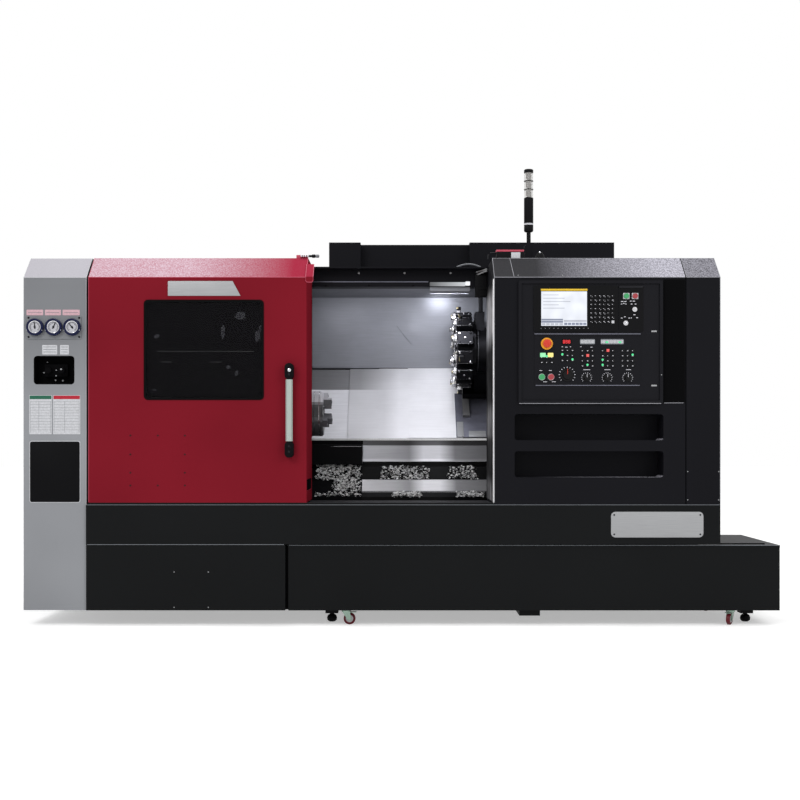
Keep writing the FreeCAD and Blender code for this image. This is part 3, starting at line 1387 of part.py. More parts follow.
for thing in doc.Objects:
    if "Invalid" in thing.State or "Error" in thing.State:
        raise RuntimeError(f"{thing.Label} failed: {thing.State}")
for name, thing in nodes.items():
    if thing.Shape.isNull() or not thing.Shape.isValid() or not thing.Shape.Solids:
        raise RuntimeError(f"{name} has no valid solid")
for name, thing in nodes.items():
    thing.Shape.exportStep(f"parts/{name}.step")
whole = FreeCAD.BoundBox()
for thing in nodes.values():
    whole.add(thing.Shape.BoundBox)
print(len(nodes), "sub-parts", whole)
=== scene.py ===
import math
import random

import bmesh
import bpy
from mathutils import Matrix, Vector


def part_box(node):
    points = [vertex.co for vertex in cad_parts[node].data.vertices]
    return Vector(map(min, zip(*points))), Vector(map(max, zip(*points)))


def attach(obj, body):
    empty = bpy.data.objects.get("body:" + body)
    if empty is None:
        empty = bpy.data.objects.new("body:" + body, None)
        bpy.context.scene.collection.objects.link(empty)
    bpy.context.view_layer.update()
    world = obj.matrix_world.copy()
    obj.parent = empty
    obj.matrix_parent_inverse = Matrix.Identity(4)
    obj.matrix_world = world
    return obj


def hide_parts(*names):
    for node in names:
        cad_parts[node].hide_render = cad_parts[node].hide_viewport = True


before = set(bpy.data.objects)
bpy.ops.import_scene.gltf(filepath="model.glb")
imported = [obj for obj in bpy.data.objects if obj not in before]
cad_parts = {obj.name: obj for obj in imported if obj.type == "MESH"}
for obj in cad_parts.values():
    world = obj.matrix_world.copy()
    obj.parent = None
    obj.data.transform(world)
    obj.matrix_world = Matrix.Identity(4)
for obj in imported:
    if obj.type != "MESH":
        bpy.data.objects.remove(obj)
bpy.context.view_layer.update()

random.seed(11)
print("frame loaded:", len(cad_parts), "nodes")


# Small tools.

def fromHex(code):  # sRGB hex to linear
    shares = [int(code[i:i + 2], 16) / 255 for i in (1, 3, 5)]
    return [s / 12.92 if s <= 0.04045 else ((s + 0.055) / 1.055) ** 2.4 for s in shares] + [1.0]


def setNode(tree, node, settings):  # a socket, or a node for its first output, is linked and the rest is set
    for key, value in settings.items():
        if isinstance(value, bpy.types.Node):
            value = value.outputs[0]
        if isinstance(value, str) and value.startswith("#"):
            value = fromHex(value)
        if key == "stops":
            ramp = node.color_ramp
            for place, shade in value[1:-1]:
                ramp.elements.new(place)
            for element, (place, shade) in zip(ramp.elements, value):
                element.position, element.color = place, (shade, shade, shade, 1)
        elif isinstance(value, bpy.types.NodeSocket):
            tree.links.new(value, node.inputs[key])
        elif isinstance(key, int) or key in node.inputs:
            node.inputs[key].default_value = value
        else:
            setattr(node, key, value)
    return node


def addNode(tree, kind, settings):
    return setNode(tree, tree.nodes.new("ShaderNode" + kind), settings)


def startMaterial(name, settings):
    material = bpy.data.materials.new(name)
    material.use_nodes = True
    tree = material.node_tree
    shader = setNode(tree, tree.nodes["Principled BSDF"], settings)
    return material, tree, shader, addNode(tree, "TexCoord", {}).outputs["Object"]


def millimetres(size):  # noise scale whose grain is about this size, for coordinates in metres
    return 1000 / size


def noiseOf(place, sizeMm, detail, roughness=0.5):
    return {"Vector": place, "Scale": millimetres(sizeMm), "Detail": detail, "Roughness": roughness}


def spread(value, low, high, newLow=0.0, newHigh=1.0):  # one range of numbers mapped to another
    return {"Value": value, "From Min": low, "From Max": high, "To Min": newLow, "To Max": newHigh}


def times(first, second):
    return {"blend_type": "MULTIPLY", "Fac": 1.0, "Color1": first, "Color2": second}


def mixed(share, first, second):
    return {"Fac": share, "Color1": first, "Color2": second}


# Powder coat, sprayed and baked: satin, with a pebbled skin. On every leaning face the glint colour is laid on in
# flecks, a painted highlight of light catching the pebbles.
# The real pebbles are near 1 mm; they are drawn at 5 mm and more so that they still show.
# The painted highlight flecks of a leaning face thin out along X from the second to the first place of the fade; the
# blush is a painted lighter colour of leaning faces that face the light, showing between them. The top shade is painted
# shade that darkens upright faces toward the roof.
def powderCoat(name, colour, glint, pebble=5.0, roughness=0.45, sheen=0.12, share=0.6, grit=0.4, fade=None,
               paintedLightBlush=None, paintedTopShade=1.0):
    material, tree, shader, place = startMaterial(name, {
        "Roughness": roughness, "Specular IOR Level": sheen, "IOR": 1.5})
    leanStart, leanFull, dimStart, dimFull = 0.35, 0.6, 1.15, 1.75  # shares of an upward normal, then heights
    grain = addNode(tree, "TexNoise", noiseOf(place, pebble, 2.0, 0.6))
    drift = addNode(tree, "TexNoise", noiseOf(place, 770, 2.0))
    tone = addNode(tree, "MapRange", spread(drift, 0.3, 0.7, 0.88, 1.1))
    normal = addNode(tree, "NewGeometry", {}).outputs["Normal"]
    upward = addNode(tree, "SeparateXYZ", {"Vector": normal}).outputs["Z"]
    # share of painted highlight on faces that lean up toward the light
    leaning = addNode(tree, "MapRange", spread(upward, leanStart, leanFull, 0.0, share))
    fleck = addNode(tree, "ValToRGB", {"Fac": grain, "stops": [(0.4, 1.0 - grit), (0.6, 1.0)]})
    cover = addNode(tree, "Math", {"operation": "MULTIPLY", 0: leaning, 1: fleck})
    plain = addNode(tree, "MixRGB", times(colour, tone))
    spot = addNode(tree, "SeparateXYZ", {"Vector": place}).outputs
    if fade:
        plainEnd, fleckedEnd, least = fade
        thin = addNode(tree, "MapRange", spread(spot["X"], plainEnd, fleckedEnd, least, 1.0))
        cover = addNode(tree, "Math", {"operation": "MULTIPLY", 0: cover, 1: thin})
    # painted shade toward the roof
    if paintedTopShade < 1.0:
        dim = addNode(tree, "MapRange", spread(spot["Z"], dimStart, dimFull, 1.0, paintedTopShade))
        plain = addNode(tree, "MixRGB", times(plain, dim))
    # painted lighter colour where a face leans toward the light
    if paintedLightBlush:
        plain = addNode(tree, "MixRGB", mixed(leaning, plain, paintedLightBlush))
    coat = addNode(tree, "MixRGB", mixed(cover, plain, glint))
    skin = addNode(tree, "Bump", {"Height": grain, "Strength": 0.12, "Distance": 0.0006})
    setNode(tree, shader, {"Base Color": coat, "Normal": skin})
    return material


# Brushed or milled metal: fine lines along one axis, slow cloudy dullness and a few smears of coolant.
# Bands are heights from which a shade counts, as sheets that face another way or lie in shadow look darker.
# The glare gives the height of a bend, two ends along X, and the shades between them below and above the bend.
def workedMetal(name, colour, along, lineMm, roughness, smear=0.0, metallic=1.0, specular=0.5, streak=0.14,
                bands=None, glare=None, blur=False):
    material, tree, shader, place = startMaterial(name, {"Metallic": metallic, "Specular IOR Level": specular})
    lineLength, highest, sharpness = 60.0, 2.0, 0.001  # times the line's width, then metres
    scale = [millimetres(lineMm) / (lineLength if axis == along else 1.0) for axis in "xyz"]
    lines = addNode(tree, "Mapping", {"Vector": place, "Scale": scale})
    brush = addNode(tree, "TexNoise", {"Vector": lines, "Scale": 1.0, "Detail": 3.0})
    cloud = addNode(tree, "TexNoise", noiseOf(place, 240, 4.0, 0.6))
    dull = addNode(tree, "MapRange", spread(cloud, 0.3, 0.7, roughness * 0.8, roughness * 1.25))
    shade = addNode(tree, "ValToRGB", {"Fac": brush, "stops": [(0.3, 1.0 - streak), (0.7, 1.0)]})
    tint = addNode(tree, "MixRGB", times(colour, shade))
    wet = addNode(tree, "ValToRGB", {"Fac": cloud, "stops": [(0.42, 1.0 - smear), (0.6, 1.0)]})
    tint = addNode(tree, "MixRGB", times(tint, wet))
    spot = addNode(tree, "SeparateXYZ", {"Vector": place}).outputs
    if bands:
        height = addNode(tree, "MapRange", spread(spot["Z"], 0.0, highest))
        layers = addNode(tree, "ValToRGB", {"Fac": height, "stops": [(z / highest, level) for z, level in bands]})
        layers.color_ramp.interpolation = "EASE" if blur else "CONSTANT"
        tint = addNode(tree, "MixRGB", times(tint, layers))
    if glare:
        bend, left, right, below, above = glare
        across = addNode(tree, "MapRange", spread(spot["X"], left, right))
        lower, upper = (addNode(tree, "ValToRGB", {"Fac": across, "stops": stops}) for stops in (below, above))
        side = addNode(tree, "MapRange", spread(spot["Z"], bend - sharpness, bend + sharpness))
        tint = addNode(tree, "MixRGB", times(tint, addNode(tree, "MixRGB", mixed(side, lower, upper))))
    scored = addNode(tree, "Bump", {"Height": brush, "Strength": 0.08, "Distance": 0.0004})
    setNode(tree, shader, {"Base Color": tint, "Roughness": dull, "Normal": scored})
    return material


# Moulded plastic, rubber and small enamelled things: even colour with a faint grain.
def mouldedFinish(name, colour, grainMm, roughness, specular=0.25, coat=0.0):
    material, tree, shader, place = startMaterial(name, {
        "Roughness": roughness, "Specular IOR Level": specular, "Coat Weight": coat, "Coat Roughness": 0.08})
    grain = addNode(tree, "TexNoise", noiseOf(place, grainMm, 3.0))
    tone = addNode(tree, "MapRange", spread(grain, 0.25, 0.75, 0.85, 1.12))
    skin = addNode(tree, "Bump", {"Height": grain, "Strength": 0.1, "Distance": 0.0003})
    setNode(tree, shader, {"Base Color": addNode(tree, "MixRGB", times(colour, tone)), "Normal": skin})
    return material


# A lit surface behind a diffuser: brighter in patches, never quite even.
def litFinish(name, colour, strength, patchMm, fade=None):
    material, tree, shader, place = startMaterial(name, {
        "Base Color": "#26262A", "Roughness": 0.35, "Emission Strength": strength})
    patch = addNode(tree, "TexNoise", noiseOf(place, patchMm, 1.0))
    tone = addNode(tree, "MapRange", spread(patch, 0.3, 0.7, 0.86, 1.0))
    glow = addNode(tree, "MixRGB", times(colour, tone))
    if fade:  # dim end and bright end along X
        spot = addNode(tree, "SeparateXYZ", {"Vector": place}).outputs["X"]
        glow = addNode(tree, "MixRGB", times(glow, addNode(tree, "MapRange", spread(spot, *fade, 0.12, 1.0))))
    setNode(tree, shader, {"Emission Color": glow})
    return material


# Tinted pane or clear lens, thin enough to see through, with faint dust that breaks the reflection.
def clearFinish(name, colour, alpha, roughness, dustMm, specular=0.1):
    material, tree, shader, place = startMaterial(name, {
        "Base Color": colour, "Alpha": alpha, "Specular IOR Level": specular})
    dust = addNode(tree, "TexNoise", noiseOf(place, dustMm, 5.0))
    dull = addNode(tree, "MapRange", spread(dust, 0.45, 0.75, roughness, roughness + 0.12))
    setNode(tree, shader, {"Roughness": dull})
    return material


finish = {
    "doorPowderCoat": powderCoat(  # deep wine red front under a slope made pink by fine painted highlight flecks and a painted lighter red
        "Crimson powder coat", "#751A25", "#CEC0CB", pebble=6.5, sheen=0.0, share=0.8, grit=0.5,
        fade=(-0.56, -1.1, 0.04), paintedLightBlush="#991F39"),
    "blackPowderCoat": powderCoat(  # satin black whose slope turns from plain to sparkling grey with painted highlight flecks along X
        "Black powder coat", "#111115", "#C8C6D2", pebble=6.0, sheen=0.06, share=0.86, grit=0.6,
        fade=(0.7, 1.34, 0.02)),
    "endPowderCoat": powderCoat(  # the end cabinet, whose slope gets fewer painted highlight flecks
        "Black powder coat of the end cabinet", "#111115", "#C8C6D2", pebble=6.0, sheen=0.06, share=0.5, grit=0.7),
    "basePowderCoat": powderCoat(  # duller black of the base, greenish beside the upper black, with faint painted highlight flecks on leaning faces
        "Black powder coat of the base", "#121314", "#4A4A4E", sheen=0.06, share=0.4, roughness=0.5),
    "columnPowderCoat": powderCoat(  # cool mid grey, its slope pale with painted highlight and almost smooth, with painted shade toward the roof
        "Grey powder coat", "#8C8E92", "#C4C0C8", share=0.6, grit=0.15, paintedTopShade=0.7),
    "foldLight": powderCoat(  # thin pale line, a painted highlight where light grazes a rounded bend
        "Painted highlight on a black powder coat fold", "#909096", "#A4A4AA", pebble=7.0),
    "crimsonFold": powderCoat(  # rosy line along the bends of the door, a painted highlight
        "Painted highlight on a crimson powder coat fold", "#B84C60", "#D88A98", pebble=7.0),
    "columnFold": powderCoat(  # near-white line along the bends of the column, a painted highlight
        "Painted highlight on a grey powder coat fold", "#B9BABD", "#D6D6D9", pebble=7.0),
    "castingEnamel": mouldedFinish("Grey-green casting enamel", "#5E6664", 18.0, 0.55),  # thick soft machine paint
    "brushedStainless": workedMetal(  # soft grey wall that brightens toward the light
        "Brushed stainless sheet", "#878990", "x", 2.4, 0.5, smear=0.1, metallic=0.45),
    "wayCoverStainless": workedMetal(  # pale plates with painted light: painted shade to the left, strongest on the upper half, and a painted highlight on the right
        "Rolled stainless way cover", "#F2F2F5", "x", 3.2, 0.45, smear=0.05, metallic=0.3, streak=0.08,
        bands=((0.0, 1.0), (1.268, 0.98)), glare=(1.268, -0.55, 0.05, ((0.0, 0.7), (0.75, 0.78), (0.9, 1.0)),
                                                  ((0.0, 0.22), (0.5, 0.4), (0.8, 0.8), (0.9, 1.0)))),
    "saddleStainless": workedMetal(  # the same white sheet, its cross guides in the shadow of the turret
        "Rolled stainless saddle cover", "#F2F2F5", "x", 3.2, 0.45, smear=0.05, metallic=0.3, streak=0.08,
        bands=((0.0, 1.0), (1.268, 0.98)),
        glare=(1.268, 0.2, 0.4, *[((0.0, 1.0), (0.82, 1.0), (0.825, 0.2), (1.0, 0.2))] * 2)),
    "guardStainless": workedMetal(  # painted highlight on the leaning steps and painted shade on the flats between them, changing along X too
        "Bent stainless chip guard", "#F4F4F8", "x", 2.8, 0.45, smear=0.08, metallic=0.1, specular=0.05,
        bands=((0.0, 0.012), (0.6655, 1.0), (0.7315, 0.012), (0.8355, 1.0), (0.846, 0.76), (0.9248, 0.08),
               (0.927, 0.2), (0.958, 1.0)),
        glare=(1.268, -0.55, 0.48, ((0.0, 0.95), (0.25, 0.95), (0.33, 0.85), (0.58, 0.38), (0.66, 1.0), (0.75, 1.0),
                                    (0.84, 0.28), (1.0, 0.2)), ((0.0, 0.2), (0.25, 0.28), (1.0, 0.4)))),
    "linerStainless": workedMetal(  # wavy upright streaks, with a painted highlight high up and in soft patches below and painted shade between
        "Thin stainless liner", "#EEEEF2", "z", 80.0, 0.4, smear=0.5, metallic=0.0, specular=0.0, streak=0.97,
        blur=True, bands=((0.0, 0.55), (0.7, 0.5), (0.78, 0.12), (0.95, 0.12), (1.0, 0.5), (1.08, 0.5), (1.18, 0.1),
                          (1.42, 0.12), (1.55, 1.0), (1.7, 1.0), (1.78, 0.1))),
    "turnedSteel": workedMetal("Turned and ground steel", "#C9C9CC", "y", 1.6, 0.24, smear=0.1),  # sharp bright bands
    "chuckSteel": workedMetal(  # painted highlight across the top and painted shade below, with smears
        "Chuck steel with smears and painted light", "#F4F2FA", "y", 2.6, 0.4, smear=0.4, metallic=0.1,
        bands=((0.0, 0.12), (1.06, 0.2), (1.085, 0.09), (1.135, 0.13), (1.155, 0.4), (1.17, 1.0))),
    "polishedRim": workedMetal("Polished rim", "#DADADD", "y", 2.0, 0.08),  # mirror line round dials and bores
    "blackenedSteel": workedMetal(  # oily black that shows only its edges
        "Blackened steel", "#1D1D21", "y", 2.2, 0.45, smear=0.3, metallic=0.8),
    "jawSteelLitAbove": workedMetal(  # painted highlight on the upper steps over a foot in painted shade
        "Jaw steel with painted light above", "#BCBCC4", "z", 2.0, 0.4, smear=0.2, metallic=0.3, bands=((0.0, 0.16), (1.186, 1.0))),
    "jawSteel": workedMetal(  # dark grey with a dull shine
        "Hardened jaw steel", "#74747A", "z", 2.0, 0.4, smear=0.3, metallic=0.35),
    "brightEdge": workedMetal("Painted highlight of a sheet edge", "#FFFFFF", "z", 3.0, 0.4, metallic=0.0),  # white line, a painted highlight along a sheet edge
    "boltSteel": workedMetal("Bright bolt steel", "#D4D4D8", "z", 1.2, 0.22),  # small white sparks
    "nozzleSteel": workedMetal("Plated nozzle steel", "#CFCDC4", "y", 1.5, 0.3),  # pale warm dots
    "anodisedAluminium": workedMetal(  # pale green-grey, even along the bar
        "Satin anodised aluminium", "#A9B3AD", "z", 1.8, 0.5, metallic=0.3),
    "plateAluminium": workedMetal("Brushed plate aluminium", "#9C9D9F", "x", 2.0, 0.5, metallic=0.3),  # flat silver
    "navyEnamel": mouldedFinish("Navy enamel", "#0B1236", 6.0, 0.35, specular=0.15),  # dark blue ring round each dial
    "dialWhite": mouldedFinish("Printed dial card", "#B2B2B8", 5.0, 0.6),  # greyish white face
    "labelPink": mouldedFinish("Pale pink label film", "#C6A2AA", 8.0, 0.5),  # faded pink strip
    "labelWhite": mouldedFinish("White label film", "#BFC0C4", 8.0, 0.5),  # off-white, never as bright as the floor
    "labelGreen": mouldedFinish("Green label film", "#1E5A45", 8.0, 0.5),  # bottle green header
    "labelRed": mouldedFinish("Red label film", "#A81E30", 8.0, 0.5),  # signal red header
    "ruleGrey": mouldedFinish("Grey marks and painted highlight lines", "#6C7075", 4.0, 0.6),  # fine grey rules and marks; along the base edges, painted highlight lines
    "plateBlack": mouldedFinish("Black enamel plate", "#0A0A0C", 9.0, 0.5, specular=0.05),  # the darkest flat field
    "blackAbs": mouldedFinish("Moulded black ABS", "#0B0B0D", 3.0, 0.5, specular=0.08),  # matt black housing
    "panelAbs": mouldedFinish("Charcoal panel film", "#141418", 3.0, 0.55, specular=0.08),  # a touch above the keys
    "keyAbs": mouldedFinish("Black key caps", "#0B0B0D", 2.0, 0.4, specular=0.15),  # black caps with a soft edge light
    "legendInk": mouldedFinish("White legend ink", "#C9C9CF", 2.0, 0.6),  # crisp pale marks
    "gasketRubber": mouldedFinish("Gasket rubber", "#0A0A0B", 4.0, 0.7, specular=0.04),  # dull black frame
    "oxideBlack": mouldedFinish("Black parts and painted gap shade", "#060607", 6.0, 0.7, specular=0.03),  # black parts, and deep painted shadow in gaps
    "windowGlass": clearFinish("Laminated dark window", "#08070A", 0.5, 0.04, 60.0),  # near black, inside just guessed
    "lensClear": clearFinish("Ribbed clear lens", "#E4E2DE", 0.34, 0.1, 12.0, specular=0.4),  # pale rings, dark core
    "scuff": clearFinish("Dried coolant mark", "#6B6B72", 0.14, 0.4, 14.0),  # faint grey smear on the pane
    "screenGlow": litFinish("Lit screen", "#F2F6FF", 1.02, 60.0),  # cool white display
    "screenBand": litFinish("Lit screen band", "#8F97AE", 0.85, 60.0),  # blue-grey status rows
    "screenGrey": litFinish("Lit screen soft key field", "#CDD1DC", 0.85, 60.0),  # pale fields on the display
    "yellowBand": mouldedFinish("Yellow trim strip", "#D9B431", 5.0, 0.4),  # warm line above the display
    "lampGlow": litFinish("Work light diffuser", "#E6EAEE", 0.8, 60.0, fade=(0.16, 0.36)),  # soft white bar
    "lampEnd": litFinish("Work light end window", "#F8FAFF", 1.1, 20.0),  # brightest spot of the bar
    "ledGreen": litFinish("Green lamp", "#3FE08E", 1.2, 5.0),  # green spark
    "ledRed": litFinish("Red lamp", "#F0504A", 1.1, 5.0),  # red lit key
    "ledYellow": litFinish("Yellow lamp", "#FFF08A", 1.1, 12.0),  # pale yellow lit window
    "ledPale": litFinish("Pale green lamp", "#9AF5B4", 1.1, 12.0),  # pale green lit window
    "digitRed": litFinish("Red numerals", "#FF2A30", 1.4, 6.0),  # glowing red bars
    "stopRed": mouldedFinish("Moulded red cap", "#C93420", 6.0, 0.35, coat=0.3),  # glossy orange red
    "stopYellow": mouldedFinish("Moulded yellow collar", "#EBA028", 6.0, 0.4),  # warm yellow ring
    "pressGreen": litFinish("Lit green button", "#23B562", 0.75, 10.0),  # half-lit green
    "pressRed": litFinish("Lit red button", "#C01F2A", 0.7, 10.0),  # half-lit red
    "coatedInsert": workedMetal("Coated carbide insert", "#C2B68E", "z", 1.0, 0.35),  # dull gold chip at each tip
    "darkStainless": workedMetal(  # grey plate in painted shade of the turret's shadow, also thin painted highlight lines on the panel
        "Stainless slide cover", "#6A6B78", "x", 3.0, 0.45, smear=0.25, metallic=0.4),
    "towerCore": mouldedFinish("Dark lamp carrier", "#3C3A3C", 3.0, 0.5),  # dark shape inside each lens
    "chipSteel": workedMetal("Curled steel chips", "#FFFFFF", "z", 2.0, 0.35, metallic=0.0),  # white curls on black, their white a painted highlight of bright steel
    "zincPlate": workedMetal("Zinc plated fork", "#869A8E", "z", 2.0, 0.3),  # bright with a green cast
    "tyreRed": mouldedFinish("Cast polyurethane tyre", "#5A0A18", 4.0, 0.4),  # dark red roller
    "conduitGrey": mouldedFinish("Ribbed grey conduit", "#6E7074", 4.0, 0.5),  # light thin arch
    "redStrip": mouldedFinish("Red cover strip", "#B5485A", 8.0, 0.5),  # faded red line on the roof
    "paleFloor": mouldedFinish("Pale floor", "#F2F2F2", 400.0, 0.9),  # white ground that keeps the shadow
}
print("finishes:", len(finish))


# Mesh tools, all in metres and in the frame's own place.

def softened(mesh, edges, offset):
    return bmesh.ops.bevel(mesh, geom=edges, offset=offset, segments=2, affect="EDGES", profile=0.6)["faces"]


def boxIn(mesh, low, high, soften=0.0, turn=None):
    low, high = Vector(low), Vector(high)
    made = bmesh.ops.create_cube(mesh, size=1.0)["verts"]
    for vertex in made:
        vertex.co = Vector([low[i] + (vertex.co[i] + 0.5) * (high[i] - low[i]) for i in range(3)])
    if soften:
        faces = softened(mesh, list({edge for vertex in made for edge in vertex.link_edges}), soften)
        made = list({vertex for face in faces for vertex in face.verts})
    if turn:
        bmesh.ops.transform(mesh, matrix=turn, verts=made)


def marksIn(mesh, corner, face, proud, sunk, rows):  # thin boxes on a face: left, right, low and high from a corner
    for left, right, low, high in rows:
        boxIn(mesh, (corner.x + left, face - proud, corner.z + low), (corner.x + right, face + sunk, corner.z + high))


def latheIn(mesh, profile, centre, axis, steps=28, turn=None):
    across, up, along = (Vector(v) for v in {
        "x": ((0, 1, 0), (0, 0, 1), (1, 0, 0)), "y": ((1, 0, 0), (0, 0, 1), (0, 1, 0)),
        "z": ((1, 0, 0), (0, 1, 0), (0, 0, 1))}[axis])
    rings = []
    for distance, radius in profile:
        ring = []
        for step in range(steps if radius > 0 else 1):
            angle = 2 * math.pi * step / steps
            point = Vector(centre) + along * distance + (across * math.cos(angle) + up * math.sin(angle)) * radius
            ring.append(mesh.verts.new(turn @ point if turn else point))
        rings.append(ring)
    for first, second in zip(rings, rings[1:]):
        for step in range(steps):
            after = (step + 1) % steps
            loop = [first[step % len(first)], first[after % len(first)], second[after % len(second)],
                    second[step % len(second)]]
            loop = [v for i, v in enumerate(loop) if v not in loop[:i]]
            if len(loop) > 2:
                mesh.faces.new(loop)
    for ring in (rings[0], rings[-1]):
        if len(ring) > 2 and profile[0] != profile[-1]:
            mesh.faces.new(ring)


def loftIn(mesh, rings, closed=True):  # faces from each row of points to the next
    rings = [[mesh.verts.new(point) for point in ring] for ring in rings]
    for first, second in zip(rings, rings[1:]):
        for i in range(len(first) if closed else len(first) - 1):
            j = (i + 1) % len(first)
            mesh.faces.new([first[i], first[j], second[j], second[i]])
    return rings


def prismIn(mesh, section, ends, closed=True):  # section in Y and Z, drawn out along X
    for ring in loftIn(mesh, [[(x, y, z) for y, z in section] for x in ends], closed):
        if closed:
            mesh.faces.new(ring)


def tubeIn(mesh, points, radius, sides=6):
    points = [Vector(p) for p in points]
    rings = []
    for i, point in enumerate(points):
        along = (points[min(i + 1, len(points) - 1)] - points[max(i - 1, 0)]).normalized()
        side = along.cross(Vector((0, 0, 1)) if abs(along.z) < 0.9 else Vector((1, 0, 0))).normalized()
        lift = along.cross(side)
        rings.append([point + radius * (side * math.cos(a) + lift * math.sin(a))
                      for a in [2 * math.pi * s / sides for s in range(sides)]])
    rings = loftIn(mesh, rings)
    mesh.faces.new(rings[0])
    mesh.faces.new(list(reversed(rings[-1])))


def tubesIn(mesh, *rows):  # each row is the tube's radius and its points
    for radius, *points in rows:
        tubeIn(mesh, points, radius)


def slabIn(mesh, corners, front, back, soften=0.0):  # outline in X and Z, pushed from front to back in Y
    near, far = ([mesh.verts.new((x, y, z)) for x, z in corners] for y in (front, back))
    outline = mesh.faces.new(near)
    mesh.faces.new(list(reversed(far)))
    for i in range(len(corners)):
        j = (i + 1) % len(corners)
        mesh.faces.new([near[i], far[i], far[j], near[j]])
    if soften:
        softened(mesh, list(outline.edges), soften)


def roundedCorners(left, right, low, high, radius, steps=5):
    corners = []
    for cx, cz, start in ((right - radius, high - radius, 0), (left + radius, high - radius, 90),
                          (left + radius, low + radius, 180), (right - radius, low + radius, 270)):
        for step in range(steps + 1):
            angle = math.radians(start + 90 * step / steps)
            corners.append((cx + radius * math.cos(angle), cz + radius * math.sin(angle)))
    return corners


def turnAt(place, angle, axis):
    return Matrix.Translation(place) @ Matrix.Rotation(angle, 4, axis)


def radialFrame(centre, angle):  # sideways and outward from an axis along X, and the matrix from there
    side, outward = Vector((0, math.cos(angle), math.sin(angle))), Vector((0, -math.sin(angle), math.cos(angle)))
    return side, outward, Matrix.Translation(centre) @ Matrix((
        (1, 0, 0, 0), (0, side.y, outward.y, 0), (0, side.z, outward.z, 0), (0, 0, 0, 1)))


def screwIn(mesh, centre, radius, high, facing=(0, -1, 0)):
    turn = Vector((0, -1, 0)).rotation_difference(Vector(facing)).to_matrix().to_4x4()
    profile = [(0, radius), (-high * 0.6, radius), (-high, radius * 0.7), (-high, radius * 0.38),
               (-high * 0.4, radius * 0.34), (-high * 0.4, 0)]
    latheIn(mesh, profile, (0, 0, 0), "y", 12, Matrix.Translation(Vector(centre)) @ turn)


def screwsIn(mesh, acrosses, y, heights, radius, high, facing=(0, -1, 0)):  # one at every crossing
    for x in acrosses:
        for z in heights:
            screwIn(mesh, (x, y, z), radius, high, facing)


pending = []  # pieces under way


def startPieces(*rows, body="machine", crease=35, meshes=None):  # each row holds a name, a finish and a slot; the slot is not used
    meshes = meshes or [bmesh.new() for _ in rows]
    pending.extend((mesh, body, crease, *row.split()) for mesh, row in zip(meshes, rows))
    return meshes


def closePieces(stage):
    for mesh, body, crease, name, look, slot in pending:
        bmesh.ops.recalc_face_normals(mesh, faces=mesh.faces)
        data = bpy.data.meshes.new(name)
        mesh.to_mesh(data)
        mesh.free()
        data.materials.append(finish[look])
        data.polygons.foreach_set("use_smooth", [True] * len(data.polygons))
        data.set_sharp_from_angle(angle=math.radians(crease))
        piece = bpy.data.objects.new(name, data)
        bpy.context.scene.collection.objects.link(piece)
        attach(piece, body)
    pending.clear()
    print(stage, "done")


dressing = {  # each finish and the nodes that keep their shape and wear it
    "castingEnamel": "machine_bed headstock", "navyEnamel": "gauge_cases", "conduitGrey": "roof_conduit",
    "basePowderCoat": "front_apron left_skirt coolant_tank", "columnPowderCoat": "services_column",
    "blackPowderCoat": "headstock_cover header_beam right_enclosure tower_foot rear_cover electrical_cabinet "
                       "cabinet_door",
    "endPowderCoat": "end_cabinet", "doorPowderCoat": "door_shell", "brushedStainless": "work_light splash_wall",
    "guardStainless": "bed_guard", "wayCoverStainless": "way_cover_1 way_cover_2", "saddleStainless": "saddle",
    "windowGlass": "door_window", "gasketRubber": "window_gasket", "anodisedAluminium": "handle_bar",
    "blackAbs": "levelling_feet display_unit switch_panel handle_ends signal_tower",
    "panelAbs": "console_frame operator_panel", "screenGlow": "screen", "turnedSteel": "spindle",
    "chuckSteel": "chuck_body", "jawSteelLitAbove": "chuck_jaw_1", "jawSteel": "chuck_jaw_2 chuck_jaw_3",
    "blackenedSteel": "turret_slide turret_disc tool_holders",
    "oxideBlack": "gauge_needle_1 gauge_needle_2 gauge_needle_3", "stopRed": "e_stop_button",
    "pressGreen": "cycle_start_button power_on_button", "pressRed": "feed_hold_button power_off_button",
    "keyAbs": "mode_dial spindle_knob feed_knob rapid_knob", "zincPlate": "caster_fork_1 caster_fork_2",
    "tyreRed": "caster_wheel_1 caster_wheel_2 caster_wheel_3 caster_wheel_4",
}
dressed = {node: look for look, nodes in dressing.items() for node in nodes.split()}
for node, look in dressed.items():
    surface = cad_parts[node].data
    surface.materials.clear()
    surface.materials.append(finish[look])
print("nodes dressed:", len(dressed))

# Faces and heights that most of the details hang on.
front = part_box("front_apron")[0].y  # face of the enclosure
hem, bend, slopeTop = 0.64, 1.797, front + 0.13  # foot of the panels, bend below the slope, back of the slope
doorLow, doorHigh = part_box("door_shell")
roof = doorHigh.z
columnLow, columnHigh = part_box("services_column")
columnFace = front + 0.012
gaugeLow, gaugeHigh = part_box("gauge_cases")
rightLow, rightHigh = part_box("right_enclosure")
mouthRight = rightLow.x
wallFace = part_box("splash_wall")[1].y - 0.003  # inner face of the back wall


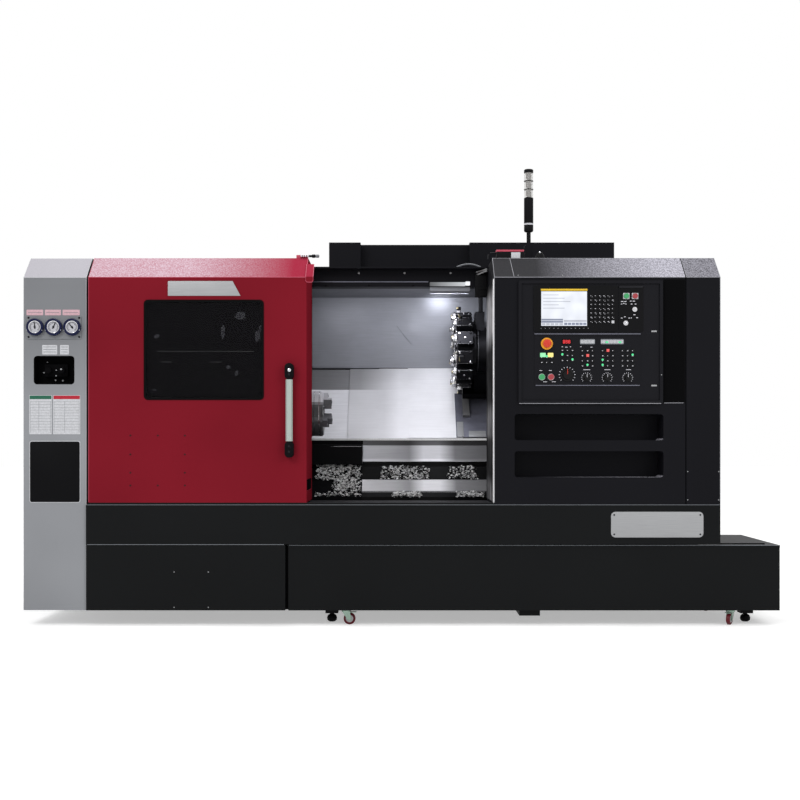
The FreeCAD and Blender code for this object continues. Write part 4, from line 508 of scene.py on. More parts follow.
def addGauges():
    gauge = {"radius": 0.0285, "ring": 0.0315, "recess": 0.0358, "depth": 0.0098, "ticks": 28, "sweep": 270,
             "tickLength": 0.0055, "tickEnd": 0.0265}
    rims, funnels, dials, ticks, screws = startPieces(
        "gauge_rims polishedRim gauge_chrome", "gauge_funnels navyEnamel gauge_chrome",
        "gauge_dials dialWhite lamp_plastic", "gauge_ticks oxideBlack needle_black",
        "gauge_screws boltSteel bright_steel")
    radius, ring, recess, depth, count, sweep, tickLength, tickEnd = gauge.values()
    face, centreZ = gaugeLow.y, (gaugeLow.z + gaugeHigh.z) / 2
    caseRadius = (gaugeHigh.z - gaugeLow.z) / 2
    for number in range(3):
        x = gaugeLow.x + caseRadius + number * (gaugeHigh.x - gaugeLow.x - 2 * caseRadius) / 2
        for mesh, profile in (
                (rims, [(depth, radius), (0.005, radius + 0.0004), (0.004, ring), (depth, ring), (depth, radius)]),
                (funnels, [(0.0045, ring), (0.0025, ring + 0.0001), (0.0006, recess), (depth, recess), (0.0045, ring)]),
                (dials, [(0.01, 0.0022), (0.01, radius - 0.0002), (depth, radius - 0.0002), (depth, 0.0022)])):
            latheIn(mesh, profile, (x, face, centreZ), "y", 40)
        for tick in range(count):
            turn = turnAt((x, 0, centreZ), math.radians(-sweep / 2 + sweep * tick / (count - 1)), "Y")
            length = tickLength * (1.6 if tick % 3 == 0 else 1.0)
            boxIn(ticks, (-0.0009, face + 0.0096, tickEnd - length), (0.0009, face + 0.00975, tickEnd), 0.0, turn)
        for side in (-1, 1):
            screwIn(screws, (x + side * (caseRadius - 0.006), face + 0.004, centreZ - 0.016), 0.003, 0.0025)


def addColumnPlates():
    plates = {"pink": ((-1.934, -1.848), (-1.839, -1.757), (-1.748, -1.66)), "pinkHeights": (1.602, 1.631),
              "small": ((-1.853, -1.776), (-1.761, -1.716)), "smallHeights": (1.4, 1.449),
              "sheets": ((-1.92, -1.804), (-1.797, -1.657)), "sheetHeights": (0.989, 1.19)}
    green, red, pink, white, rules, rim, board = startPieces(
        "sheet_header_green labelGreen lamp_plastic", "sheet_header_red labelRed lamp_plastic",
        "pink_labels labelPink lamp_plastic", "white_labels labelWhite lamp_plastic",
        "label_rules ruleGrey needle_black", "board_rim labelWhite grey_paint", "board plateBlack black_plastic")
    face = columnFace

    def addPlate(mesh, left, right, low, high):
        slabIn(mesh, roundedCorners(left, right, low, high, 0.003), face - 0.0008, face)

    def addRule(left, right, low, high):
        boxIn(rules, (left, face - 0.0011, low), (right, face - 0.0007, high))

    low, high = plates["pinkHeights"]
    for left, right in plates["pink"]:
        addPlate(pink, left, right, low, high)
        addRule(left + 0.008, right - 0.008, (low + high) / 2 - 0.001, (low + high) / 2 + 0.001)
    low, high = plates["smallHeights"]
    for left, right in plates["small"]:
        addPlate(white, left, right, low, high)
        for row in range(3):
            z = high - 0.01 - row * 0.013
            addRule(left + 0.006, right - 0.006, z - 0.0012, z + 0.0012)
    low, high = plates["sheetHeights"]
    for (left, right), header in zip(plates["sheets"], (green, red)):
        addPlate(white, left, right, low, high)
        slabIn(header, roundedCorners(left + 0.002, right - 0.002, high - 0.02, high - 0.002, 0.002),
               face - 0.0012, face - 0.0006)
        for row in range(11):
            z = high - 0.034 - row * 0.0145
            addRule(left + 0.005, right - 0.005, z, z + 0.0011)
        for share in (0.0, 0.42, 1.0):
            x = left + 0.005 + share * (right - left - 0.011)
            addRule(x, x + 0.001, low + 0.008, high - 0.03)
    slabIn(rim, roundedCorners(-1.919, -1.656, 0.636, 0.955, 0.012), face - 0.0015, face, 0.0006)
    slabIn(board, roundedCorners(-1.9155, -1.6595, 0.6395, 0.9515, 0.01), face - 0.003, face - 0.001, 0.0008)


def addColumnDetails():
    recess = {"left": -1.897, "right": -1.687, "low": 1.246, "high": 1.393, "depth": 0.07, "corner": 0.018}
    fittings = (  # X and Z from the middle, size, and how far before the back of the recess
        (-0.052, 0.0445, 0.0035, 0.001), (-0.07, -0.0095, 0.0045, 0.001), (-0.01, -0.0495, 0.0045, 0.001),
        (0.028, -0.0515, 0.005, 0.001), (0.002, 0.0015, 0.0035, 0.031), (0.0347, 0.005, 0.005, 0.0602),
        (0.001, -0.027, 0.0035, 0.031))
    tray, block, steel, screws, fold, seal = startPieces(
        "recess_tray oxideBlack black_plastic", "valve_block oxideBlack black_plastic",
        "valve_fittings plateAluminium bright_steel", "gauge_panel_screws blackenedSteel blackened_steel",
        "column_folds columnFold grey_paint", "column_seal gasketRubber seal_rubber")
    left, right, low, high, depth, corner = recess.values()
    face, back = columnFace, columnFace + depth
    outer, inner = (roundedCorners(left + inset, right - inset, low + inset, high - inset, radius)
                    for inset, radius in ((0.0006, corner), (0.002, corner - 0.0015)))
    rings = loftIn(tray, [[(x, y, z) for x, z in corners] for corners, y in
                          ((outer, face - 0.001), (inner, face - 0.001), (inner, back - 0.001))])
    tray.faces.new(rings[-1])
    middleX, middleZ = (left + right) / 2, (low + high) / 2
    boxIn(block, (middleX - 0.06, back - 0.0312, middleZ - 0.032), (middleX + 0.06, back, middleZ + 0.032), 0.002)
    for x in (middleX - 0.0347, middleX + 0.0347):
        latheIn(block, [(0, 0.009), (-0.0125, 0.009), (-0.0125, 0.0175), (-0.0303, 0.016), (-0.0305, 0.0)],
                (x, back - 0.03, middleZ), "y", 24)
        for ridge in range(16):
            turn = turnAt((x, 0, middleZ), math.radians(22.5 * ridge), "Y")
            boxIn(block, (-0.0012, back - 0.058, 0.0165), (0.0012, back - 0.044, 0.0182), 0.0, turn)
    for x, z, size, proud in fittings:
        latheIn(steel, [(0, size), (-0.004, size), (-0.004, size * 0.7), (-0.0065, size * 0.7), (-0.0065, 0)],
                (middleX + x, back - proud, middleZ + z), "y", 6)
    screwsIn(screws, (-1.922, -1.661), face - 0.005, (1.49, 1.589), 0.0055, 0.003)
    # Thin near-white beads along the column's bends carry a painted highlight.
    for x in (columnLow.x + 0.0016, columnHigh.x - 0.0016):
        tubeIn(fold, [(x, face, columnLow.z + 0.002), (x, face, bend), (x, face + 0.13, roof)], 0.0014)
    tubeIn(fold, [(columnLow.x + 0.001, face, bend), (columnHigh.x - 0.001, face, bend)], 0.0014)
    edge = columnHigh.x
    boxIn(seal, (edge + 0.0003, face + 0.02, hem), (edge + 0.0127, face + 0.04, 1.79), 0.002)
    tubeIn(seal, [(edge + 0.0065, face + 0.03, 1.785), (edge + 0.0065, face + 0.158, roof - 0.008)], 0.006, 8)


addGauges()
addColumnPlates()
addColumnDetails()
closePieces("column")


def addDoorDetails():
    folds, screws, plate, lap, edges = startPieces(
        "door_folds crimsonFold red_paint", "door_screws blackenedSteel blackened_steel",
        "door_plate plateAluminium handle_aluminium", "door_bracket doorPowderCoat red_paint",
        "bracket_edges crimsonFold red_paint", body="door")
    left, right = doorLow.x + 0.001, doorHigh.x - 0.001
    # Thin rosy beads along the door's bends carry a painted highlight.
    tubesIn(folds, (0.0016, (left, front, bend), (right, front, bend)),
            (0.0013, (right, front, bend), (right, slopeTop, roof)),
            (0.0013, (left, front, hem), (left, front, bend), (left, slopeTop, roof)))
    heights = (0.982, 0.885, 0.791, 0.725)
    for x, rows in ((-1.396, heights), (-1.255, heights[::3]), (-1.116, heights)):
        screwsIn(screws, (x,), front, rows, 0.0042, 0.0016)
    slabIn(plate, [(-1.203, 1.701), (-0.829, 1.701), (-0.87, 1.777), (-1.203, 1.777)], front - 0.004, front, 0.0014)
    # The lap strip follows the front and the slope, a few millimetres proud of both.
    right = doorHigh.x
    lapLeft, lapRight, lapFace = right - 0.004, right + 0.034, front - 0.0046
    foot = [(lapLeft, bend - 0.018), (right + 0.002, bend - 0.026), (right + 0.028, bend - 0.026),
            (lapRight, bend - 0.018)]
    lean = turnAt((0, front - 0.0032, bend + 0.0006), math.atan2(roof - bend, 0.13), "X")
    slabIn(lap, foot + [(lapRight, bend + 0.001), (lapLeft, bend + 0.001)], lapFace, front - 0.0026, 0.0004)
    boxIn(lap, (lapLeft, 0.0, 0.0), (lapRight, 0.115, 0.002), 0.0004, lean)
    # The lap strip's edges carry a painted highlight as thin rosy beads.
    for x in (lapLeft, lapRight):
        tubesIn(edges, (0.0015, (x, lapFace, bend - 0.018), (x, lapFace, bend + 0.002),
                        (x, front + 0.076, bend + 0.0765)))
    tubeIn(edges, [(x, lapFace, z) for x, z in foot], 0.0017)


def addHandleDetails():  # rounded end caps, the upper one with a bright screw
    cap = {"length": 0.084, "proud": 0.0425, "corner": 0.0195}
    caps, bright, dark, ridges = startPieces(
        "handle_caps plateBlack black_plastic", "handle_screw boltSteel bright_steel",
        "handle_dark_screws blackenedSteel blackened_steel", "handle_ridges anodisedAluminium handle_aluminium",
        body="door")
    low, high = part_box("handle_ends")
    middle, face = (low.x + high.x) / 2, front - cap["proud"]
    for floor in (low.z, high.z - cap["length"]):
        slabIn(caps, roundedCorners(low.x, high.x, floor, floor + cap["length"], cap["corner"]), face, front, 0.004)
    screwIn(bright, (middle + 0.002, face, high.z - 0.036), 0.0085, 0.0022)
    screwsIn(dark, (middle,), face, (high.z - 0.058, low.z + 0.03, low.z + 0.058), 0.006, 0.0015)
    low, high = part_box("handle_bar")
    for x in (middle - 0.008, middle, middle + 0.008):
        boxIn(ridges, (x - 0.0012, low.y - 0.0008, low.z + 0.002), (x + 0.0012, low.y + 0.001, high.z - 0.002), 0.0004)


def addDoorSwitch():  # limit switch on the door's roof edge, its tip reaching past the door
    red, barrel, dark, tip = startPieces(
        "switch_block redStrip red_paint", "switch_barrel boltSteel bright_steel", "switch_body blackAbs black_plastic",
        "switch_tip conduitGrey conduit_grey", body="door")
    y, z = front + 0.15, roof + 0.0105
    boxIn(red, (-0.553, y - 0.015, roof), (-0.494, y + 0.02, roof + 0.018), 0.003)
    for turn in range(4):
        latheIn(barrel, [(0, 0.0075), (0.002, 0.0095), (0.006, 0.0095), (0.008, 0.0075)],
                (-0.53 + turn * 0.011, y - 0.022, z), "x", 16)
    latheIn(dark, [(0, 0.006), (0.016, 0.006), (0.018, 0.009), (0.034, 0.009), (0.036, 0.005), (0.036, 0)],
            (-0.487, y - 0.02, z), "x", 18)
    latheIn(tip, [(0, 0.006), (0.004, 0.0085), (0.016, 0.0085), (0.019, 0.005), (0.019, 0)],
            (-0.451, y - 0.02, z), "x", 18)


def addWindowDetails():  # dried marks on the pane and, behind it, a rail and two ledges
    marks = (  # X, Z, half width and half height
        (-0.921, 1.518, 0.013, 0.034), (-0.741, 1.496, 0.016, 0.03), (-0.728, 1.532, 0.008, 0.018),
        (-0.893, 1.335, 0.013, 0.01), (-0.85, 1.305, 0.01, 0.016), (-1.262, 1.492, 0.018, 0.012),
        (-1.273, 1.218, 0.011, 0.007), (-0.83, 1.6, 0.03, 0.02))
    rail, = startPieces("guard_rail plateAluminium bright_steel")
    scuffs, = startPieces("window_scuffs scuff window_glass", body="door")
    cover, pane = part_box("headstock_cover")[0].y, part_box("door_window")[0].y
    boxIn(rail, (-1.265, cover - 0.008, 1.416), (-0.765, cover, 1.4195), 0.0015)
    for x in (-1.245, -0.99):
        boxIn(rail, (x, cover - 0.01, 1.361), (x + 0.055, cover, 1.3645), 0.0015)
    for x, z, wide, high in marks:
        rim = [(x + wide * (0.7 + 0.5 * random.random()) * math.cos(a),
                z + high * (0.7 + 0.5 * random.random()) * math.sin(a))
               for a in [math.tau * step / 11 for step in range(11)]]
        scuffs.faces.new([scuffs.verts.new((px, pane - 0.0003, pz)) for px, pz in rim])


addDoorDetails()
addHandleDetails()
addDoorSwitch()
addWindowDetails()
closePieces("door")
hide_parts("handle_ends")


def addHeaderDetails():
    strip, screws, dark, glow, window, box, rods = startPieces(
        "beam_trim darkStainless black_paint", "beam_screws plateAluminium bright_steel",
        "beam_dark_screws oxideBlack blackened_steel", "lamp_diffuser lampGlow lamp_plastic",
        "lamp_window lampEnd lamp_plastic", "rail_end_box blackAbs black_plastic",
        "stay_rods plateAluminium bright_steel")
    beamFace = front + 0.508
    boxIn(strip, (-0.49, beamFace - 0.0015, 1.8355), (0.15, beamFace, 1.8405), 0.0006)
    boxIn(strip, (-0.49, beamFace - 0.001, roof - 0.003), (mouthRight - 0.004, beamFace + 0.002, roof), 0.001)
    screwsIn(screws, (-0.236, 0.018, 0.274), beamFace, (1.887,), 0.006, 0.003)
    screwsIn(dark, (-0.4185, -0.1786, 0.0662, 0.3127), beamFace, (1.8165,), 0.0045, 0.003)
    boxIn(glow, (0.158, beamFace - 0.012, 1.8135), (0.356, beamFace, 1.835), 0.003)
    boxIn(window, (0.356, beamFace - 0.016, 1.817), (0.381, beamFace, 1.8385), 0.004)
    boxIn(box, (0.408, beamFace - 0.04, 1.752), (mouthRight - 0.003, beamFace, 1.874), 0.003)
    boxIn(box, (0.43, beamFace - 0.045, 1.79), (mouthRight - 0.003, beamFace - 0.038, 1.8), 0.001)
    for high, rise in ((1.872, 0.016), (1.889, 0.008)):
        tubeIn(rods, [(0.416, beamFace - 0.03, high), (mouthRight - 0.006, front + 0.423, high + rise)], 0.0045, 12)


def addRoofDetails():  # switch under a red strip, its tag, and a plug on the front edge of the roof
    black, strip, tag, spark, hook = startPieces(
        "roof_fittings blackAbs black_plastic", "roof_red_cover redStrip red_paint", "roof_tag labelWhite lamp_plastic",
        "roof_spark boltSteel bright_steel", "roof_hook blackenedSteel blackened_steel")
    edge = front + 0.14
    boxIn(black, (0.5, edge, roof), (0.648, edge + 0.04, roof + 0.036), 0.002)
    latheIn(black, [(0, 0.026), (0.02, 0.022), (0.036, 0.012), (0.04, 0.0)], (0.731, edge + 0.03, roof), "z", 20)
    boxIn(strip, (0.498, edge - 0.001, roof + 0.036), (0.644, edge + 0.041, roof + 0.046), 0.002)
    boxIn(tag, (0.576, edge - 0.003, roof + 0.001), (0.624, edge - 0.0005, roof + 0.032), 0.001)
    screwIn(spark, (0.7285, edge + 0.016, roof + 0.034), 0.0055, 0.004)
    wire = ((0.5, 0.034), (0.47, 0.034), (0.459, 0.026), (0.456, 0.002))
    tubeIn(hook, [(x, edge + 0.036, roof + z) for x, z in wire], 0.003, 8)


addHeaderDetails()
addRoofDetails()
closePieces("roof")


def addMouthDetails():
    guard = {"left": -0.5495, "right": -0.2224, "lip": 0.9578}  # ends of the black shield and lining, foot of the lip
    jamb, = startPieces("jamb_edge brightEdge bright_steel")
    liner, = startPieces("side_liner linerStainless stainless", crease=80)
    bracket, foot, scratch, shield, lining, lip, edge = startPieces(
        "hose_bracket blackAbs black_plastic",
        "wall_foot brushedStainless stainless", "wall_scratch ruleGrey stainless", "chip_shield plateBlack black_paint",
        "trough_lining plateBlack black_paint", "guard_lip brightEdge stainless", "guard_edges boltSteel stainless")
    # A thin white strip on the jamb is a painted highlight of its edge.
    boxIn(jamb, (mouthRight - 0.0035, front + 0.001, 0.63), (mouthRight - 0.0005, front + 0.045, 1.79), 0.0008)
    loftIn(liner, [[(mouthRight - 0.0022 + 0.0016 * math.sin(wave * 1.1), front + 0.06 + wave * 0.0111, z)
                    for z in (hem, 1.79)] for wave in range(40)], False)
    boxIn(bracket, (0.442, -0.217, 1.688), (0.466, -0.193, 1.846), 0.003)
    boxIn(bracket, (0.425, -0.23, 1.836), (0.472, -0.175, 1.846), 0.002)
    tubeIn(scratch, [(x, wallFace - 0.0003, z) for x, z in ((-0.026, 1.672), (0.03, 1.6), (0.067, 1.556))], 0.0016)
    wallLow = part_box("splash_wall")[0]
    boxIn(foot, (-0.549, wallFace - 0.003, 1.4078),
          (mouthRight + 0.5, wallFace + 0.002, max(wallLow.z + 0.004, 1.414)), 0.001)
    ends = (guard["left"], guard["right"])
    prismIn(shield, [(-0.106, 0.8204), (-0.1937, 0.8204), (-0.1937, 0.9338), (-0.0031, 0.9338), (-0.0031, 0.9575),
                     (-0.0019, 0.9575), (-0.0019, 0.9285), (-0.03, 0.924)], ends)
    prismIn(lining, [(-0.3062, 0.603), (-0.3062, 0.6412), (-0.2662, 0.6665), (-0.216, 0.7325), (-0.201, 0.7355),
                     (-0.146, 0.8085), (-0.1062, 0.8137)], ends, False)
    # Thin bright beads along the shield's top edge and the guard's bends are painted highlights.
    for dash in range(14):
        x = -0.4 + dash * 0.0125
        tubeIn(edge, [(x, -0.1942, 0.9235), (x + 0.01, -0.1942, 0.9235)], 0.0012)
    left, right = guard["right"] + 0.002, mouthRight + 0.2
    tubesIn(edge, (0.0016, (left, -0.026, 0.924), (left, -0.1042, 0.8362), (right, -0.1042, 0.8362)),
            (0.0016, (left, -0.2155, 0.7312), (left, -0.2647, 0.6664), (right, -0.2647, 0.6664)))
    # The lip's white bead is a painted highlight along the lower edge of the slope.
    boxIn(lip, (guard["left"], -0.0045, guard["lip"]), (mouthRight + 0.1, -0.0015, guard["lip"] + 0.012), 0.0006)


def addChips():  # curled chips lying on the steps of the guard
    heaps = [  # left, right, lower y and z, upper y and z, how many
        (-0.49, -0.226, -0.2145, 0.7345, -0.1465, 0.822, 420), (-0.395, -0.226, -0.2665, 0.668, -0.2145, 0.7345, 230),
        (-0.49, -0.226, -0.305, 0.643, -0.28, 0.66, 70), (-0.12, 0.168, -0.1999, 0.736, -0.1475, 0.806, 260),
        (0.262, 0.44, -0.1999, 0.736, -0.1475, 0.806, 130), (-0.055, 0.118, -0.303, 0.642, -0.27, 0.664, 150),
        (0.305, 0.468, -0.303, 0.642, -0.27, 0.664, 110)]
    between = random.uniform
    chips, = startPieces("steel_chips chipSteel bright_steel", crease=60)
    for left, right, lowY, lowZ, highY, highZ, count in heaps:
        for _ in range(count):
            share = random.random()
            inset = 0.03 * share * random.random()
            spot = Vector((between(left + inset, right - inset),
                           lowY + (highY - lowY) * share - between(0.002, 0.012),
                           lowZ + (highZ - lowZ) * share + between(0.001, 0.006)))
            turn = Matrix.Rotation(between(0, 6.28), 3, "X") @ Matrix.Rotation(between(0, 6.28), 3, "Z")
            radius, width, pitch = between(0.003, 0.0075), between(0.0025, 0.005), between(0.001, 0.004)
            ribbon = []
            for step in range(7):
                angle = step * between(0.75, 0.95)
                rim = Vector((radius * math.cos(angle), radius * math.sin(angle), pitch * angle / 3))
                ribbon.append([chips.verts.new(spot + turn @ (rim + Vector((0, 0, side)))) for side in (0, width)])
            for first, second in zip(ribbon, ribbon[1:]):
                chips.faces.new([first[0], second[0], second[1], first[1]])


def addChuckDetails():
    low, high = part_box("chuck_body")
    face, radius = high.x, (high.z - low.z) / 2
    centre = Vector((0, (low.y + high.y) / 2, (low.z + high.z) / 2))
    inner = radius * 0.42
    rings, = startPieces("chuck_rings polishedRim bright_steel", body="spindle")
    latheIn(rings, [(0, inner), (0.0009, inner + 0.0005), (0.0009, inner + 0.0022), (0, inner + 0.0027), (0, inner)],
            (face, centre.y, centre.z), "x", 48)
    for band in (0.022, 0.05, 0.078):
        latheIn(rings, [(0, radius), (0.0006, radius + 0.0006), (0.0024, radius + 0.0006), (0.003, radius),
                        (0, radius)], (face - band, centre.y, centre.z), "x", 48)
    for number, look in ((1, "jawSteelLitAbove"), (2, "jawSteel"), (3, "jawSteel")):
        _, outward, turn = radialFrame(centre, math.radians(120 * (number - 1)))
        block, screws, teeth = startPieces(
            f"top_jaw_{number} {look} blackened_steel", f"jaw_screws_{number} blackenedSteel blackened_steel",
            f"jaw_teeth_{number} boltSteel bright_steel", body=f"jaw_{number}")
        for reach, lift in ((0.1, 0.025), (0.066, 0.0453)):
            screwIn(screws, Vector((face + lift, centre.y, centre.z)) + outward * reach, 0.008, 0.002, (1, 0, 0))
        boxIn(block, (face + 0.004, -0.018, 0.027), (face + 0.044, 0.018, 0.0445), 0.0015, turn)
        for row in range(4):
            x = face + 0.03 + row * 0.0035
            boxIn(teeth, (x, -0.016, 0.0436), (x + 0.0018, 0.016, 0.0445), 0.0, turn)


turretCentre = Vector((0, 0.12292, 1.49692))


def addTurretDetails():
    turret = {"flat": 0.165, "holderHigh": 0.056, "holeRing": 0.118, "stations": 12}
    wedges, darkScrews, screws, nozzles, inserts, edges, rings = startPieces(
        "tool_wedges turnedSteel bright_steel", "turret_dark_screws blackenedSteel blackened_steel",
        "turret_screws boltSteel bright_steel", "coolant_nozzles nozzleSteel bright_steel",
        "cutting_inserts coatedInsert bright_steel", "holder_edges boltSteel bright_steel",
        "turret_rings polishedRim bright_steel", body="turret")
    nose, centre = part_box("turret_disc")[0].x, turretCentre
    flat, top, toward = turret["flat"], turret["flat"] + turret["holderHigh"], (-1, 0, 0)
    for station in range(turret["stations"]):
        side, outward, turn = radialFrame(centre, math.radians(station * 360 / turret["stations"] + 45))

        def spot(x, along, reach):
            return centre + Vector((x, 0, 0)) + side * along + outward * reach

        for x, along in ((0.34, -0.027), (0.34, 0.027), (0.402, -0.027), (0.402, 0.027)):
            screwIn(screws if (x < 0.35) == (along > 0) else darkScrews, spot(x, along, top), 0.0062, 0.0045, outward)
        outline = [spot(0.3252, along, reach) for along, reach in (
            (-0.0355, flat + 0.002), (-0.0355, top - 0.0015), (0.0355, top - 0.0015), (0.0355, flat + 0.002))]
        for start, end in zip(outline, outline[1:]):
            tubeIn(edges, [start, end], 0.0016)
        for along in (-0.0362, 0.0362):
            tubeIn(edges, [spot(0.3262, along, top - 0.0008), spot(0.415, along, top - 0.0008)], 0.0012)
        for along in (-0.029, 0.029):
            screwIn(screws, spot(0.325, along, flat + 0.012), 0.0045, 0.003, toward)
        if station % 2 == 0:  # square shank under a wedge
            boxIn(wedges, (0.3085, -0.0187, 0.1748), (0.3257, 0.0187, 0.2152), 0.002, turn)
            for reach in (0.184, 0.206):
                screwIn(screws, spot(0.3085, 0, reach), 0.006, 0.003, toward)
            boxIn(wedges, (0.3355, -0.013, top + 0.0005), (0.3615, 0.013, top + 0.03), 0.001, turn)
            boxIn(inserts, (0.3345, -0.0133, top + 0.038), (0.346, 0.008, top + 0.0498), 0.001, turn)
        else:  # boring bar in its sleeve
            latheIn(wedges, [(0, 0.0165), (0, 0.0312), (0.004, 0.0325), (0.012, 0.0325), (0.0135, 0.0312)],
                    spot(0.3098, 0, flat + 0.029), "x", 28)
            latheIn(wedges, [(0, 0.0), (0, 0.012), (0.003, 0.0152), (0.012, 0.0152)],
                    spot(0.2966, 0, flat + 0.029), "x", 20)
            boxIn(inserts, (0.2962, 0.003, 0.1995), (0.304, 0.0153, 0.2095), 0.001, turn)
            screwIn(screws, spot(0.371, 0, top), 0.007, 0.005, outward)
        ball = spot(0.3252, 0.02 if station % 2 else 0.027, top - 0.011)
        tip = ball + Vector((-0.022, 0, 0)) + side * -0.006 + outward * 0.007
        latheIn(nozzles, [(0.002, 0.0), (0.0, 0.0065), (-0.005, 0.0065), (-0.009, 0.003), (-0.009, 0.0)], ball, "x", 14)
        tubeIn(nozzles, [ball, ball.lerp(tip, 0.5) + outward * 0.001, tip], 0.0028, 10)
        latheIn(rings, [(0, 0.0092), (-0.001, 0.0095), (-0.001, 0.0118), (0, 0.0122), (0, 0.0092)],
                spot(nose + 0.008, 0, turret["holeRing"]), "x", 20)
    for bolt in range(6):
        angle = math.radians(60 * bolt + 15)
        place = centre + Vector((nose, 0.045 * math.cos(angle), 0.045 * math.sin(angle)))
        screwIn(screws, place, 0.0075, 0.005, toward)
    latheIn(rings, [(0, 0.028), (-0.0018, 0.028), (-0.0018, 0.018), (0, 0.018), (0, 0.028)],
            (nose, centre.y, centre.z), "x", 28)


def addSlideDetails():  # bands of the turret housing and the grey cover on the saddle below it
    bands, = startPieces("housing_bands jawSteel bright_steel", body="turret_slide")
    plate, wiper = startPieces("slide_cover darkStainless stainless", "slide_wipers plateAluminium stainless",
                               body="carriage")
    y, z = turretCentre.y, turretCentre.z
    for x, radius in ((0.452, 0.135), (0.58, 0.135), (0.612, 0.078), (0.66, 0.078)):
        latheIn(bands, [(0, radius), (0.0008, radius + 0.0012), (0.004, radius + 0.0012), (0.0048, radius),
                        (0, radius)], (x, y, z), "x", 44)
    for number in range(8):
        angle = math.radians(45 * number + 20)
        screwIn(bands, (0.44, y + 0.125 * math.cos(angle), z + 0.125 * math.sin(angle)), 0.005, 0.003, (-1, 0, 0))
    slope = turnAt((0, 0.00709, 0.97097), math.radians(45), "X")
    boxIn(plate, (0.326, 0.003, 0.0024), (0.62, 0.38, 0.0065), 0.001, slope)
    boxIn(plate, (0.326, 0.003, 0.0064), (0.331, 0.165, 0.011), 0.001, slope)
    for left, right, length in ((0.331, 0.37, 0.13), (0.4, 0.5, 0.052)):
        boxIn(wiper, (left, 0.003, 0.0066), (right, length, 0.0095), 0.001, slope)


addMouthDetails()
addChips()
addChuckDetails()
addTurretDetails()
addSlideDetails()
closePieces("working space")


def addEnclosureFolds():
    folds, seam, screws, channel = startPieces(
        "fold_lines foldLight black_paint", "slope_seam oxideBlack seal_rubber",
        "enclosure_screws plateAluminium bright_steel", "console_channel oxideBlack black_paint")
    endLow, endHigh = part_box("end_cabinet")
    left, right, step = rightLow.x + 0.001, endHigh.x - 0.001, endLow.x + 0.0008
    # The fold lines are painted highlights along the bends of the enclosure.
    tubesIn(folds, (0.0016, (left, front, bend), (rightHigh.x - 0.001, front, bend)),
            (0.0016, (endLow.x + 0.001, front, bend), (right, front, bend)),
            (0.0015, (left, front, hem), (left, front, bend), (left, slopeTop, roof)),
            (0.0015, (right, front, hem), (right, front, bend), (right, slopeTop, roof)),
            (0.0012, (step, front, bend), (step, slopeTop, roof)),
            (0.0014, (0.578, front - 0.0006, 1.8), (0.568, slopeTop - 0.0006, roof - 0.001)),
            (0.0015, (left, slopeTop, roof - 0.001), (right, slopeTop, roof - 0.001)))
    back = slopeTop + 0.1
    prismIn(seam, ((front + 0.008, 0.63), (front + 0.008, 1.795), (slopeTop + 0.006, roof - 0.006),
                   (back, roof - 0.006), (back, 0.63)), (rightHigh.x + 0.0004, endLow.x - 0.0004))
    for x in (0.6, 0.83):
        screwIn(screws, (x, front + 0.012, 1.8077), 0.0028, 0.002, (0, -0.668, 0.744))
    screwsIn(screws, (1.472, 1.631), front, (0.797, 0.651), 0.003, 0.002)
    screwIn(screws, (1.334, front - 0.014, 1.294), 0.003, 0.002)
    boxIn(channel, (1.346, front - 0.001, 1.15), (rightHigh.x - 0.002, front + 0.0005, 1.786), 0.0004)


def addConsoleLines():
    edge, tags = startPieces("console_edge foldLight black_paint", "console_tags plateAluminium handle_aluminium")
    low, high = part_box("console_frame")
    # The edge lines are painted highlights along the console's lower edges.
    tubesIn(edge, (0.0018, (low.x + 0.003, low.y, low.z + 0.001), (high.x - 0.01, low.y, low.z + 0.001)),
            (0.0016, (high.x + 0.008, front - 0.001, low.z + 0.004),
             (rightHigh.x - 0.01, front - 0.001, low.z + 0.004)))
    for z in (1.518, 1.239):
        slabIn(tags, roundedCorners(1.283, 1.311, z - 0.004, z + 0.004, 0.002), front - 0.008, front - 0.006, 0.0004)


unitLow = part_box("display_unit")[0]
panelLow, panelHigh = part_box("operator_panel")
panelFace = front - 0.008
panelLegends = bmesh.new()  # gathers the marks of keys, windows and dials


def addScreenPicture():
    fields, lines, yellow, bezel = startPieces(
        "screen_fields screenBand screen_glass", "screen_lines screenGrey screen_glass",
        "yellow_strip yellowBand black_plastic", "screen_bezel keyAbs black_plastic")
    low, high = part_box("screen")
    face, wide, tall = low.y, high.x - low.x, high.z - low.z
    marksIn(fields, low, face, 0.0004, 0, [(0.001, 0.112, 0.028, 0.036), (0.001, 0.112, 0.016, 0.026)])
    marksIn(lines, low, face, 0.0004, 0, [(0.116, wide - 0.002, 0.02, 0.03)])
    for mesh, start, pitch, length, floor, top, count in (
            (fields, 0.118, 0.0195, 0.0165, 0.004, 0.016, 6), (lines, 0.003, 0.0225, 0.018, 0.003, 0.014, 5)):
        marksIn(mesh, low, face, 0.0006, 0, [(start + i * pitch, start + i * pitch + length, floor, top)
                                             for i in range(count)])
    marksIn(lines, low, face, 0.0003, 0, [
        (0.01, 0.09 + 0.03 * (row % 3), tall - 0.02 - row * 0.017, tall - 0.0165 - row * 0.017) for row in range(5)])
    face, inner, outer = unitLow.y + 0.002, 0.0006, 0.003
    boxIn(yellow, (low.x - 0.002, face - 0.0012, high.z + 0.003),
          (high.x + 0.002, face + 0.001, high.z + 0.013), 0.0005)
    for left, right, floor, top in ((low.x - outer, high.x + outer, low.z - outer, low.z - inner),
                                    (low.x - outer, low.x - inner, low.z - inner, high.z),
                                    (high.x + inner, high.x + outer, low.z - inner, high.z)):
        boxIn(bezel, (left, face - 0.0015, floor), (right, face + 0.001, top), 0.0006)


